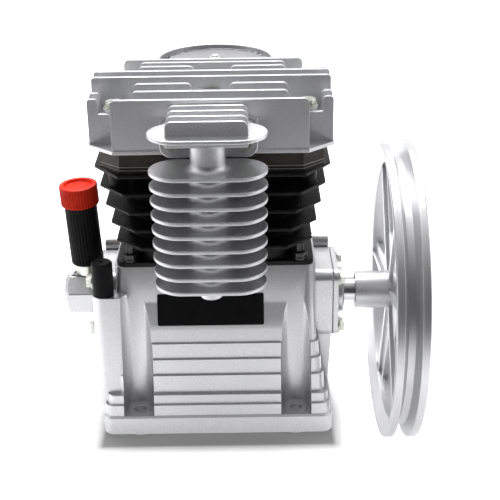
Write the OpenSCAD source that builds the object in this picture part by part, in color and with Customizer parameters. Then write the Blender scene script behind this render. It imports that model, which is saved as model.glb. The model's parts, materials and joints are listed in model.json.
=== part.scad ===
// Belt-driven two-cylinder air compressor pump head.
// Millimetres. The origin is the middle of the base bolt pattern on the mounting plane, +X runs along
// the crankshaft to the flywheel, -Y is the front with the aftercooler, and +Z is up.

/* [Base] */
// Length of the base flange along the crankshaft
base_l = 224; // [216:1:240]
// Depth of the base flange
base_w = 157; // [156:1:170]
// Height of the top of the base flange above the mounting plane
base_top = 22; // [18:1:26]
// Corner radius of the base flange
base_r = 10; // [6:1:12]
// Bolt pitch along the crankshaft
bolt_pitch_x = 153; // [148:1:156]
// Bolt pitch across the crankshaft
bolt_pitch_y = 124; // [120:1:126]
// Diameter of the mounting bolt holes
base_hole_d = 11.5; // [9:0.5:13]
// Diameter of the spanner channel above each mounting hole
channel_d = 29.4; // [26:0.2:30]
// Diameter of the machined pads under the mounting holes
pad_d = 27; // [22:1:30]
// Height of the machined pads
pad_h = 2; // [1.5:0.5:3]

/* [Crankcase] */
// Height of the crankshaft axis above the mounting plane
crank_z = 119; // [117:1:123]
// Height of the crankcase top face
case_top = 166; // [164:1:170]
// Half length of the crankcase at its top
case_top_x = 96; // [95:1:98]
// Half depth of the crankcase at its top
case_top_y = 42; // [41:1:44]
// Height of the edge where the smooth upper wall meets the stepped skirt
skirt_top = 107.5; // [104:0.5:110]
// Half depth of the crankcase at that edge
skirt_y = 55; // [54:0.5:57]
// Thickness of the crankcase wall
case_wall = 6; // [5:0.5:7]
// Thickness of the top deck
deck_t = 10; // [8:1:10]
// Thickness of the sump floor
floor_t = 10; // [8:1:14]
// Half width of the square end bosses and covers
cover_half = 35; // [34:0.5:36]
// Distance of the outer face of each end boss from the middle
boss_x = 113; // [111:1:114]

/* [Covers] */
// Thickness of the cover flanges
cover_t = 5.2; // [4:0.2:6]
// Radius of the spigots that locate the covers in the crankcase
spigot_r = 31; // [30:0.5:31.5]
// Half pitch of the cover bolts
cover_pitch = 25.5; // [25:0.5:27]
// Diameter of the seal boss on the drive-end cover
seal_boss_d = 46; // [42:1:48]
// Length of the seal boss
seal_boss_l = 6.5; // [5:0.5:8]
// Width across the flats of the eight-sided boss on the plain-end cover
filler_boss_af = 46; // [44:1:48]
// Length of the eight-sided boss
filler_boss_l = 30.5; // [29:0.5:32]

/* [Crank train] */
// Throw of the crank, half of the piston stroke
throw = 20; // [18:0.5:20]
// Diameter of the crankpins
pin_journal_d = 22; // [20:1:22]
// Diameter of the main journals and the drive shaft
shaft_d = 25; // [24:0.5:25]
// Distance from each cylinder axis to the middle of the pump
cyl_x = 44; // [43:0.5:45]
// Centre distance of the connecting rods
rod_len = 94.5; // [93:0.5:95]
// Width of the rod big ends
big_end_w = 18; // [16:0.5:18]
// Diameter of the gudgeon pins
gudgeon_d = 13; // [12:0.5:13]
// Cylinder bore
bore_d = 70; // [69:0.5:72]
// Height from the gudgeon pin to the piston crown
comp_h = 36; // [34:0.5:36]
// Length of the piston
piston_l = 58; // [54:1:62]

/* [Flywheel] */
// Outer diameter of the flywheel
wheel_d = 292; // [280:2:300]
// Width of the rim
rim_w = 31.2; // [30:0.2:34]
// Distance of the inner face of the rim from the middle of the pump
rim_x = 161.6; // [160:0.2:164]
// Width of the belt groove at the rim
groove_top = 15.6; // [14:0.2:17]
// Width of the flat bottom of the belt groove
groove_bottom = 7; // [6:0.2:8]
// Depth of the belt groove
groove_depth = 12.5; // [11:0.5:13]
// Thickness of the rim below the groove
rim_t = 6; // [5:0.5:8]
// Number of arms
arm_count = 6; // [4:1:8]
// Diameter of the hub sleeve
hub_d = 37; // [35:1:40]
// Diameter of the web disc round the hub
web_d = 112; // [100:2:120]

/* [Cylinders] */
// Length of the top fin
fin_l = 217; // [210:1:218]
// Depth of the top fin
fin_w = 140; // [136:1:142]
// Length that each fin loses against the fin above
fin_step_l = 8; // [4:1:9]
// Depth that each fin loses against the fin above
fin_step_w = 5.4; // [3:0.2:6]
// Number of fins
fin_count = 5; // [4:1:5]
// Distance between the fins
fin_pitch = 18.8; // [18:0.1:19]
// Thickness of a fin
fin_t = 3.2; // [2.6:0.1:5]
// Corner cut of the fins
fin_cut = 24; // [20:1:26]
// Depth that the corner cut gains on each fin towards the top
fin_cut_step = 2; // [0:0.5:3]
// Height of the top face of the top fin
fin_top = 268.8; // [268:0.1:269.4]
// Height of the machined top face of the cylinders
deck_z = 270.6; // [270:0.1:271]
// Outer diameter of each barrel
barrel_d = 82; // [81:1:84]
// Length of the cylinder base flange
foot_l = 188; // [182:1:190]
// Depth of the cylinder base flange
foot_w = 84; // [80:1:84]
// Thickness of the cylinder base flange
foot_t = 4; // [3:0.5:6]

/* [Head] */
// Length of the cylinder head
head_l = 221.5; // [218:0.5:224]
// Depth of the cylinder head
head_w = 144; // [142:1:146]
// Corner cut of the cylinder head along its length
head_cut = 23.5; // [21:0.5:26]
// Corner cut of the cylinder head along its depth
head_side_cut = 21.5; // [19:0.5:24]
// Height of the lower face of the head
head_z = 289.2; // [288.4:0.1:290]
// Height of the tops of the two middle fins
head_top = 343; // [341:0.5:345]
// Distance between the head fins
head_pitch = 19.7; // [19:0.1:20]
// Thickness of a head fin
head_fin_t = 4.6; // [4:0.1:5.5]
// Distance from the ends of the head to its corner bolts
head_bolt_inset_x = 23.7; // [22:0.1:25]
// Distance from the front and the rear of the head to its corner bolts
head_bolt_inset_y = 32.6; // [31:0.1:34]
// Amount that the valve plates are set in from the head outline
plate_inset = 9; // [7:0.5:10]

/* [Aftercooler] */
// Width of the aftercooler fins
cooler_l = 103; // [96:1:108]
// Depth of the aftercooler fins
cooler_w = 52; // [48:1:54]
// Distance of the aftercooler tube axis from the crankshaft axis
cooler_y = 109; // [108:1:112]
// Outer diameter of the aftercooler tube
cooler_tube_d = 30.5; // [29:0.5:33]
// Number of fins on the tube
cooler_fins = 9; // [7:1:9]
// Distance between these fins
cooler_pitch = 13.2; // [12.6:0.1:13.4]
// Thickness of these fins
cooler_fin_t = 3.4; // [2.6:0.1:4.5]
// Height of the top plate of the aftercooler
cooler_top = 322; // [320:1:324]
// Core diameter of the threaded outlet
outlet_d = 15; // [12:0.5:16]

/* [Intake] */
// Outer diameter of the air filter
filter_d = 120; // [116:1:122]
// Distance of the filter axis from the crankshaft axis
filter_y = 143; // [143:1:150]
// Height of the top of the filter cover
filter_top = 320; // [319:1:324]
// Height of the filter housing
filter_h = 46; // [42:1:50]
// Number of air slots round the filter cover
slot_count = 40; // [20:2:48]

/* [Oil filler] */
// Distance of the filler neck axis from the middle of the pump
neck_x = 131; // [130:0.5:132]
// Lean of the filler neck away from the pump, in degrees
neck_lean = 1.8; // [0:0.1:3]
// Outer diameter of the filler tube
neck_d = 31.4; // [30:0.2:32]
// Length of the filler tube
neck_l = 59; // [50:1:64]
// Diameter of the filler cap
cap_d = 37; // [34:0.5:40]
// Height of the filler cap
cap_h = 19.5; // [16:0.5:22]
// Diameter of the vent cap
vent_d = 20; // [18:0.5:21]
// Height of the vent cap
vent_h = 34; // [30:1:36]

/* [Fasteners] */
// Nominal diameter of the cover, head and stud threads
bolt_d = 8; // [6:0.5:8]
// Width across the flats of their heads
bolt_af = 13; // [12:0.5:13]
// Height of their heads
bolt_head_h = 6.4; // [5:0.2:7]

/* [Fits] */
// Radial clearance of a running fit
run_fit = 0.05; // [0.02:0.01:0.08]
// Clearance between fixed pieces that fit into one another
fit = 0.1; // [0.05:0.01:0.15]
// Thickness of the gaskets
gasket_t = 0.8; // [0.5:0.1:1]

/* [Hidden] */

$fn = 64;
over = 1;                       // overrun of every cut
soft_fn = 32;                   // facets of the round children of a hull
corner_steps = 5;               // facets along a lofted corner
fine_edge = 1.5;                // broken edges of the castings

// Skirt of the crankcase: shares of the height from the flange to the skirt edge, and of the depth
// and length by which the skirt steps out below that edge
skirt_rise_shares = [0, 0.13, 0.24, 0.455, 0.635, 0.815, 1];
skirt_foot_shares = [0.97, 0.81, 0.58, 0.4, 0.235, 0.075];
skirt_head_shares = [0.93, 0.77, 0.52, 0.35, 0.185, 0];
skirt_out = base_w / 2 - fine_edge - skirt_y;
end_out = base_l / 2 - fine_edge - case_top_x;
left_lift_share = 0.1;          // the stepped part of the plain end is nearly upright
left_low_steps = 2;             // only the lowest steps run round the plain end
skirt_r = base_r - fine_edge;

cavity_x = case_top_x - case_wall;
cavity_top = case_top - deck_t;
cavity_y = case_top_y - case_wall;
skirt_cavity_y = skirt_y - case_wall;
cavity_waist = case_wall * 3;
sump_y = base_w / 2 - case_wall * 3;
barrel_hole_r = bore_d / 2 + deck_t / 2;

column_x = 107;                 // axis of the vent column
column_drop = 25;               // from the case top down to the column top
column_top = case_top - column_drop;
column_top_y = 48;
column_foot_y = 56;
column_r = vent_d / 2 + fine_edge / 3;
column_foot = base_top + case_wall;
end_plug_y = 36;                // round bosses near the top of both end walls
end_plug_d = 15.5;
end_plug_z = case_top - end_plug_d / 2 - fine_edge / 3;
end_plug_l = 16.5;
rib_t = 5;                      // ribs below the end bosses
rib_pitch = 24;
upper_lean = atan((skirt_y - case_top_y) / (case_top - skirt_top));

stud_inset_x = 13;              // from the edges of the base flange to the studs
stud_inset_y = 8;
stud_x = foot_l / 2 - stud_inset_x;
stud_y = foot_w / 2 - stud_inset_y;
stud_up = 17;
stud_down = 12;
nut_h = 6.5;

plate_l = 102;                  // bare data plate on the front wall
plate_h = 31;
plate_t = 0.8;
plate_x = -5;
plate_rise = 17.5;
plate_z = skirt_top + plate_rise;

sight_x = 0;                    // oil sight glass and drain plug on the rear wall
sight_z = 66;
sight_r = 15;
sight_back = 4;
sight_face = base_w / 2 - sight_back;
sight_glass_t = 3;
sight_ring_w = 4;
drain_x = 48;
drain_rise = 13;
drain_z = base_top + drain_rise;
drain_r = 10;
drain_out = 2;
drain_face = base_w / 2 + drain_out;
drain_depth = 9;
thread_share = 0.85;            // core of a thread against its nominal size

bearing_w = 15;
bearing_r = 26;
bearing_gap = 1;
bearing_x = boss_x - bearing_gap;
race_share = 0.24;              // radial share of each race
ball_count = 9;
seal_w = 7;
seal_r = 18;
seal_x = boss_x + cover_t + seal_boss_l - seal_w;
cover_x = boss_x + gasket_t;
cover_face = cover_x + cover_t;
cover_bolt_l = 16;
spigot_l = bearing_w + 2 * bearing_gap;
filler_bore_r = 14;
filler_chamfer = 5;
collar_r = 11;

web_t = 9;                      // crank webs
web_gap = 0.5;
web_half = cyl_x - big_end_w / 2 - web_gap;
web_in = cyl_x - big_end_w / 2 - web_gap - web_t;
web_out = cyl_x + big_end_w / 2 + web_gap;
web_r = spigot_r - web_gap;
web_half_w = 17;
cheek_r = 16;                   // shaft between the inner webs
pin_r = pin_journal_d / 2;
shaft_r = shaft_d / 2;
shaft_end = rim_x + rim_w / 2;
shaft_start = -boss_x + fine_edge;
key_w = 8;
key_h = 7;
key_l = 26;
key_x = 142;
end_thread_r = 5;
end_thread_l = 26;

big_end_wall = 5;
big_end_r = pin_r + big_end_wall;
big_end_half = 19;
rod_bolt_r = 2.5;
rod_bolt_gap = 1.4;
rod_bolt_y = pin_r + rod_bolt_r + rod_bolt_gap;
rod_bolt_head_r = 4;
rod_bolt_head_h = 4;
rod_pad_h = 10;
rod_foot_h = 9;
eye_wall = 3.5;
eye_r = gudgeon_d / 2 + eye_wall;
eye_w = 14;
shank_w = 12;
shank_root = 9;
shank_tip = 6.5;
shank_pocket = 3.5;
dipper_l = 16;
dipper_w = 6;
gudgeon_l = 22;
gudgeon_bore_share = 0.55;

piston_r = bore_d / 2 - fit;
piston_wall = 3.4;
crown_t = 7;
boss_gap = 12.5;                // half gap between the gudgeon pin bosses
boss_wall = 4.5;
ring_h = 2.2;
ring_depth = 3;
ring_drop_shares = [0.12, 0.23, 0.35];
ring_gap = 0.6;
pin_z = crank_z + throw + rod_len;
crown_z = pin_z + comp_h;

hub_gap = 11.8;                 // from the seal boss to the hub
hub_x = cover_face + seal_boss_l + hub_gap;
rim_r = wheel_d / 2;
rim_in_r = rim_r - groove_depth - rim_t;
rim_lip_t = 5;                  // radial thickness of the rim at its two edges
rim_flat = 8;                   // half width of the flat inside the rim
rim_mid = rim_x + rim_w / 2;
web_disc_t = 8;
web_disc_r = web_d / 2;
hub_end = rim_mid + web_disc_t / 2 + fine_edge;
arm_t = 7;
arm_root_w = 34;
arm_tip_w = 26;
arm_rib_t = 6;
arm_rib_w = 14;
arm_phase = -8;
groove_lip = 1;
washer_r = 14;
washer_t = 3;
wheel_bolt_af = 17;
wheel_bolt_h = 7;
wheel_bolt_r = 5;

barrel_r = barrel_d / 2;
web_wall = 12;
spigot_drop = 8;
bolt_column_r = 9;

lower_plate_t = 2.4;
upper_plate_t = head_z - gasket_t * 3 - lower_plate_t - deck_z;
lower_plate_z = deck_z + gasket_t;
upper_plate_z = lower_plate_z + lower_plate_t + gasket_t;
port_r = 6;
port_pitch = 32;
reed_l = 44;
reed_w = 15;
reed_t = 0.5;

ledge_z = 320;                  // top of the low walls of the head
seat_rise = 3;                  // corner bolt seats above that ledge
mid_seat_rise = 6;
head_plate_t = 3.2;             // flange at the foot of the head
head_lip = 1;                   // and how far it stands out beyond the walls
head_bolt_x = head_l / 2 - head_bolt_inset_x;
head_bolt_y = head_w / 2 - head_bolt_inset_y;
chamber_z = 312;                // top of the gas chambers
wall_t = 5;
floor_z = head_z + wall_t * 1.6;
fin_drop_shares = [0, 0.02, 0.045, 0.084];
outer_fin_x = head_l / 2 - head_cut;
second_fin_x = 70;
pair_gap_x = 17;
head_fin_r = 5;
ear_l = 9.4;
ear_z = 334;
ear_r = 3;
bolt_seat_r = 9.5;
mid_bolt_y = head_pitch * 1.1;
chamber_l = 74;
chamber_w = 42;
gas_r = 6.5;                    // delivery and suction ports
gas_z = head_z + wall_t + gas_r / 2;

cooler_x = -1.4;                // the aftercooler stands a little left of the middle
cooler_flange_l = 86;           // flange and elbow at the front of the head
cooler_flange_h = 33;
cooler_flange_t = 8.5;
cooler_flange_z = cooler_top - cooler_flange_h / 2;
cooler_bolt_x = 31.5;
cooler_bolt_z = 303;
cooler_gap = 33;                // from the top plate down to the first fin
cooler_first = cooler_top - cooler_gap;
cooler_last = cooler_first - cooler_fin_t - cooler_pitch * (cooler_fins - 1);
cooler_r = cooler_w / 2;
cooler_step = 0.2;              // each fin is a little shorter than the one above
crest_count = 4;
crest_pitch = 15.4;
crest_h = 13.6;
crest_l = 70;
crest_t = 3.6;
crest_r = 6;
outlet_boss_r = 10;
outlet_boss_l = 12;
outlet_thread_l = 14;
head_face = head_w / 2;
duct_w = 28;
thread_l = 20;

filter_r = filter_d / 2;
filter_z = filter_top - filter_h;
filter_wall = 2.4;
lid_h = 11;
lid_rim_h = 4.5;
lid_gap = 0.4;
slot_w = 1.8;
slot_l = 4.6;
slot_in = 5.5;                  // distance of the slots from the outer edge of the lid
element_gap = 11;
element_out = filter_r - element_gap;
element_in = 32;
filter_nut_af = 13;
stem_r = 4;

flute_count = 28;
flute_r = 1;
neck_wall = 4;
neck_rise = 2.1;                // the tube stands this far above the end boss
neck_z = crank_z + cover_half + neck_rise;
collar_gap = 0.6;
cap_ribs = 36;
cap_rib_r = 0.9;
cap_recess_r = 13.5;
cap_recess_h = 3;
cap_plug_l = 12;
cap_edge = 1.6;
collar_stub_r = 9;
collar_stub_l = 6;
collar_bore_r = 6;
collar_grip = 9;
neck_clear = 0.3;

// Shared shapes

module rounded_rect(l, w, r) {
    square([l - 2 * r, w], center = true);
    square([l, w - 2 * r], center = true);
    corners(l / 2 - r, w / 2 - r) circle(r);
}

// Rectangle with cut corners: cut along the length, side_cut along the depth
module octagon(l, w, cut, side_cut) {
    polygon([for (s = [[1, -1], [1, 1], [-1, 1], [-1, -1]], i = [0, 1])
        let (first = (s[0] * s[1] < 0) == (i == 0))
        first ? [s[0] * (l / 2 - cut), s[1] * w / 2] : [s[0] * l / 2, s[1] * (w / 2 - side_cut)]]);
}

module corners(x, y) {
    for (sx = [-1, 1], sy = [-1, 1]) translate([sx * x, sy * y]) children();
}

module level(z0, z1) {
    translate([0, 0, z0]) linear_extrude(z1 - z0) children();
}

// Turns +Z into +X and starts at x0 on the crankshaft axis
module along_x(x0) {
    translate([x0, 0, crank_z]) rotate([0, 90, 0]) children();
}

// Turns +Z into +Y and starts at the given point
module along_y(x, y, z) {
    translate([x, y, z]) rotate([-90, 0, 0]) children();
}

function ring_points(g) = [for (q = [0:3], i = [0:corner_steps])
    let (a = q * 90 + i * 90 / corner_steps, right = q == 0 || q == 3, back = q < 2)
    [(right ? g[2] - g[4] : g[4] - g[1]) + g[4] * cos(a), (back ? 1 : -1) * (g[3] - g[4]) + g[4] * sin(a), g[0]]];

// Skin through rounded rectangles, each [height, left, right, half depth, corner radius]
module loft(rings) {
    m = 4 * (corner_steps + 1);
    k = len(rings);
    polyhedron([for (g = rings) each ring_points(g)],
        [[for (j = [0:m - 1]) j],
            [for (j = [0:m - 1]) m * k - 1 - j],
            for (i = [0:k - 2], j = [0:m - 1])
                [i * m + j, (i + 1) * m + j, (i + 1) * m + (j + 1) % m, i * m + (j + 1) % m]]);
}

// Hexagon flange bolt that seats at z = 0 with its head upwards
module hex_bolt(d, af, head_h, length) {
    flange_t = head_h / 4;
    cylinder(r = af * 0.66, h = flange_t);
    intersection() {
        cylinder(r = af / 2 / cos(30), h = head_h, $fn = 6);
        cylinder(r1 = af * 0.7 + head_h, r2 = af * 0.53, h = head_h);
    }
    translate([0, 0, -length]) cylinder(r = d / 2, h = length + flange_t);
}

// Crankcase

function skirt_z(i) = base_top + skirt_rise_shares[i] * (skirt_top - base_top);
function left_share(i, share) = share * (i < left_low_steps ? 1 : left_lift_share);

module crankcase_skin() {
    loft([[pad_h, base_l / 2 - fine_edge, base_l / 2 - fine_edge, base_w / 2 - fine_edge, skirt_r],
        [pad_h + fine_edge, base_l / 2, base_l / 2, base_w / 2, base_r],
        [base_top - fine_edge, base_l / 2, base_l / 2, base_w / 2, base_r],
        [base_top, base_l / 2 - fine_edge, base_l / 2 - fine_edge, base_w / 2 - fine_edge, skirt_r],
        for (i = [0:len(skirt_foot_shares) - 1], top = [0, 1])
            let (share = top == 0 ? skirt_foot_shares[i] : skirt_head_shares[i])
            [skirt_z(i + top), case_top_x + left_share(i, share) * end_out, case_top_x + share * end_out,
                skirt_y + share * skirt_out, skirt_r],
        [case_top, case_top_x, case_top_x, case_top_y, skirt_r]]);
}

module crankcase_cavity() {
    difference() {
        along_x(-cavity_x) linear_extrude(2 * cavity_x) polygon([for (p = [
            [cavity_top, cavity_y], [cavity_top - cavity_waist, skirt_cavity_y - case_wall],
            [skirt_top, skirt_cavity_y], [base_top + floor_t, sump_y], [floor_t, sump_y],
            [floor_t, -sump_y], [base_top + floor_t, -sump_y], [skirt_top, -skirt_cavity_y],
            [cavity_top - cavity_waist, case_wall - skirt_cavity_y], [cavity_top, -cavity_y]])
            [crank_z - p[0], p[1]]]);
        corners(bolt_pitch_x / 2, bolt_pitch_y / 2) cylinder(r = channel_d / 2 + case_wall, h = case_top);
    }
    for (sx = [-1, 1]) translate([sx * cyl_x, 0, cavity_top - over])
        cylinder(r = barrel_hole_r, h = deck_t + 2 * over);
}

module crankcase_ends() {
    along_x(-boss_x) linear_extrude(2 * boss_x) rounded_rect(2 * cover_half, 2 * cover_half, cover_half - cover_pitch);
    for (sx = [-1, 1]) translate([sx * (case_top_x - over), end_plug_y, end_plug_z])
        rotate([0, sx * 90, 0]) cylinder(d = end_plug_d, h = end_plug_l + over);
    for (y = [-rib_pitch, 0, rib_pitch]) translate([0, y + rib_t / 2, 0]) rotate([90, 0, 0])
        linear_extrude(rib_t) polygon([[0, base_top - over], [base_l / 2 - fine_edge * 2, base_top - over],
            [boss_x, crank_z - cover_half + over], [0, crank_z - cover_half + over]]);
    hull() {
        translate([-column_x, -column_top_y, column_top - fine_edge]) cylinder(r = column_r, h = fine_edge, $fn = soft_fn);
        translate([-column_x, -column_foot_y, column_foot]) cylinder(r = column_r, h = fine_edge, $fn = soft_fn);
        translate([over - case_top_x, -column_top_y, column_top - fine_edge])
            cylinder(r = column_r, h = fine_edge, $fn = soft_fn);
        translate([over - case_top_x, -column_foot_y, column_foot]) cylinder(r = column_r, h = fine_edge, $fn = soft_fn);
    }
}

module crankcase() {
    color("silver") difference() {
        union() {
            crankcase_skin();
            crankcase_ends();
            corners(bolt_pitch_x / 2, bolt_pitch_y / 2) cylinder(d = pad_d, h = pad_h + over);
            along_y(sight_x, skirt_cavity_y, sight_z) cylinder(r = sight_r + sight_ring_w, h = sight_face - skirt_cavity_y);
            along_y(drain_x, skirt_cavity_y, drain_z) cylinder(r = drain_r + fine_edge, h = drain_face - skirt_cavity_y);
        }
        crankcase_cavity();
        corners(bolt_pitch_x / 2, bolt_pitch_y / 2) {
            translate([0, 0, -over]) cylinder(d = base_hole_d, h = base_top + 2 * over);
            translate([0, 0, base_top]) cylinder(d = channel_d, h = case_top);
        }
        along_x(-boss_x - over) cylinder(r = spigot_r + fit, h = 2 * (boss_x + over));
        for (sx = [-1, 1]) along_x(sx * boss_x) corners(cover_pitch, cover_pitch)
            cylinder(r = bolt_d / 2 + fit, h = 2 * cover_bolt_l, center = true);
        corners(stud_x, stud_y) translate([0, 0, case_top - stud_down - fit])
            cylinder(r = bolt_d / 2 + fit, h = stud_down + over);
        for (sx = [-1, 1]) translate([sx * (case_top_x + end_plug_l), end_plug_y, end_plug_z])
            rotate([0, 90, 0]) cylinder(d = end_plug_d * 0.5, h = 2 * end_plug_l, center = true);
        translate([-column_x, -column_top_y, column_top - vent_d]) cylinder(d = vent_d * 0.5, h = vent_d + over);
        along_y(sight_x, sump_y - cavity_waist * 2, sight_z) cylinder(r = sight_r * 0.6, h = base_w);
        along_y(sight_x, sight_face - sight_glass_t - fit, sight_z) cylinder(r = sight_r, h = base_w);
        along_y(drain_x, skirt_cavity_y, drain_z) cylinder(r = drain_r * thread_share * 0.7 + fit, h = base_w);
    }
}

module name_plate() {
    color("black") translate([plate_x, -skirt_y, skirt_top]) rotate([-upper_lean, 0, 0])
        translate([0, -fit / 2, plate_z - skirt_top]) rotate([90, 0, 0]) linear_extrude(plate_t)
            rounded_rect(plate_l, plate_h, fine_edge);
}

module vent_cap() {
    color("black") translate([-column_x, -column_top_y, column_top]) difference() {
        union() {
            rotate_extrude() polygon([[0, 0], [vent_d / 2, 0], [vent_d / 2, vent_h - fine_edge],
                [vent_d / 2 - fine_edge, vent_h], [0, vent_h]]);
            translate([0, 0, -vent_d * 0.7]) cylinder(d = vent_d * 0.5 - 2 * fit, h = vent_d);
        }
        translate([0, 0, vent_h - vent_d * 0.6]) cylinder(d = vent_d * 0.16, h = vent_d);
    }
}

module drain_plug() {
    color("dimgray") along_y(drain_x, drain_face, drain_z) difference() {
        union() {
            cylinder(r = drain_r, h = fine_edge);
            cylinder(r = drain_r * 0.85, h = bolt_head_h, $fn = 6);
            translate([0, 0, -drain_depth]) cylinder(r = drain_r * thread_share * 0.7, h = drain_depth + fine_edge);
        }
        translate([0, 0, bolt_head_h - over * 3]) cylinder(r = drain_r * 0.4, h = bolt_head_h, $fn = 6);
    }
}

module oil_sight_glass() {
    color("lightyellow") along_y(sight_x, sight_face - sight_glass_t, sight_z) rotate_extrude()
        polygon([[0, 0], [sight_r - fit, 0], [sight_r - fit, sight_glass_t + fine_edge],
            [sight_r * 0.78, sight_glass_t + fine_edge], [sight_r * 0.7, sight_glass_t], [0, sight_glass_t]]);
}

module end_plugs() {
    color("gray") for (sx = [-1, 1]) translate([sx * case_top_x, end_plug_y, end_plug_z])
        rotate([0, sx * 90, 0]) difference() {
            translate([0, 0, end_plug_l * 0.2]) cylinder(d = end_plug_d * 0.5 - 2 * fit, h = end_plug_l * 0.8);
            translate([0, 0, end_plug_l * 0.7]) cylinder(d = end_plug_d * 0.25, h = end_plug_l, $fn = 6);
        }
}

// End covers

module cover_outline(hole_r) {
    difference() {
        rounded_rect(2 * cover_half, 2 * cover_half, cover_half - cover_pitch);
        circle(hole_r);
        corners(cover_pitch, cover_pitch) circle(bolt_d / 2 + fit);
    }
}

module plain_end_cover() {
    outer_r = filler_boss_af / 2 / cos(22.5);
    color("silver") mirror([1, 0, 0]) difference() {
        union() {
            along_x(cover_x) linear_extrude(cover_t) cover_outline(filler_bore_r);
            along_x(cover_x - spigot_l) difference() {
                cylinder(r = spigot_r, h = spigot_l + fine_edge);
                translate([0, 0, -over]) cylinder(r = bearing_r + fit, h = bearing_w + fine_edge + over);
            }
            intersection() {
                along_x(cover_x) rotate([0, 0, 22.5]) cylinder(r = outer_r, h = cover_t + filler_boss_l, $fn = 8);
                along_x(cover_x) cylinder(r1 = outer_r + cover_t + filler_boss_l - filler_chamfer,
                    r2 = outer_r - filler_chamfer, h = cover_t + filler_boss_l);
            }
        }
        along_x(cover_x - spigot_l) cylinder(r = filler_bore_r, h = spigot_l + filler_boss_l - filler_chamfer / 2);
        translate([neck_x, 0, crank_z]) rotate([0, neck_lean, 0])
            cylinder(r = collar_stub_r + 2 * fit, h = cover_half);
    }
}

module plain_end_gasket() {
    color("darkslategray") mirror([1, 0, 0]) along_x(boss_x) linear_extrude(gasket_t) cover_outline(spigot_r + fit);
}

module cover_bolts() {
    along_x(cover_face) corners(cover_pitch, cover_pitch) hex_bolt(bolt_d, bolt_af, bolt_head_h, cover_bolt_l);
}

module plain_end_bolts() {
    color("lightgray") mirror([1, 0, 0]) cover_bolts();
}

module drive_end_cover() {
    color("silver") difference() {
        union() {
            along_x(cover_x) linear_extrude(cover_t) cover_outline(seal_r);
            along_x(cover_x - spigot_l) cylinder(r = spigot_r, h = spigot_l + fine_edge);
            along_x(cover_face - over) rotate_extrude() polygon([[0, 0], [seal_boss_d / 2, 0],
                [seal_boss_d / 2, seal_boss_l + over - fine_edge], [seal_boss_d / 2 - fine_edge, seal_boss_l + over],
                [0, seal_boss_l + over]]);
        }
        along_x(cover_x - spigot_l - over) cylinder(r = bearing_r + fit, h = bearing_w + fine_edge + over);
        along_x(cover_x - spigot_l) cylinder(r = shaft_r + fine_edge, h = spigot_l + cover_t + seal_boss_l + over);
        along_x(seal_x - fit) cylinder(r = seal_r + fit, h = seal_w + over);
    }
}

module drive_end_gasket() {
    color("darkslategray") along_x(boss_x) linear_extrude(gasket_t) cover_outline(spigot_r + fit);
}

module drive_end_bolts() {
    color("lightgray") cover_bolts();
}

module shaft_seal() {
    color("dimgray") along_x(seal_x) difference() {
        rotate_extrude() polygon([[0, 0], [seal_r, 0], [seal_r, seal_w], [seal_r * 0.9, seal_w],
            [seal_r * 0.84, seal_w - fine_edge], [shaft_r + fine_edge, seal_w - fine_edge],
            [shaft_r, seal_w - fine_edge * 2], [0, seal_w - fine_edge * 2]]);
        translate([0, 0, -over]) cylinder(r = shaft_r + run_fit, h = seal_w + 2 * over);
    }
}

module bearing() {
    gap = bearing_r - shaft_r;
    ball_ring = shaft_r + gap / 2;
    ball_r = gap * (0.5 - race_share) + gap * 0.07;
    difference() {
        rotate_extrude() {
            translate([shaft_r + run_fit, 0]) square([gap * race_share, bearing_w]);
            translate([bearing_r - gap * race_share, 0]) square([gap * race_share, bearing_w]);
        }
        translate([0, 0, bearing_w / 2]) rotate_extrude() translate([ball_ring, 0]) circle(ball_r + fit);
    }
    for (i = [0:ball_count - 1]) rotate([0, 0, i * 360 / ball_count])
        translate([ball_ring, 0, bearing_w / 2]) sphere(ball_r);
}

module drive_bearing() {
    color("lightsteelblue") along_x(bearing_x - bearing_w) bearing();
}

module plain_bearing() {
    color("lightsteelblue") along_x(-bearing_x) bearing();
}

// Crank train

module crank_web(x0) {
    along_x(x0) linear_extrude(web_t) intersection() {
        circle(web_r);
        union() {
            translate([-throw, 0]) circle(pin_r);
            square([2 * throw, 2 * web_half_w], center = true);
            translate([throw / 2, 0]) circle(web_r - throw / 2);
        }
    }
}

module crankshaft() {
    color("lightsteelblue") difference() {
        union() {
            along_x(shaft_start) cylinder(r = shaft_r, h = -shaft_start - web_out);
            along_x(web_out) cylinder(r = shaft_r, h = shaft_end - web_out);
            along_x(-web_in - over) cylinder(r = cheek_r, h = 2 * (web_in + over));
            for (x = [-web_out - web_t, -web_in - web_t, web_in, web_out]) crank_web(x);
            for (sx = [-1, 1]) translate([sx * cyl_x, 0, crank_z + throw]) rotate([0, 90, 0])
                cylinder(r = pin_r, h = big_end_w + 2 * (web_gap + over), center = true);
        }
        translate([key_x, -key_w / 2, crank_z + shaft_r - key_h / 2]) cube([key_l, key_w, key_h]);
        along_x(shaft_end - end_thread_l) cylinder(r = end_thread_r, h = end_thread_l + over);
    }
}

module shaft_key() {
    color("gray") translate([key_x + fit, fit - key_w / 2, crank_z + shaft_r - key_h / 2 + fit])
        cube([key_l - 2 * fit, key_w - 2 * fit, key_h - 2 * fit]);
}

module rod_shape(x) {
    translate([x, 0, crank_z + throw]) children();
}

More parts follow.
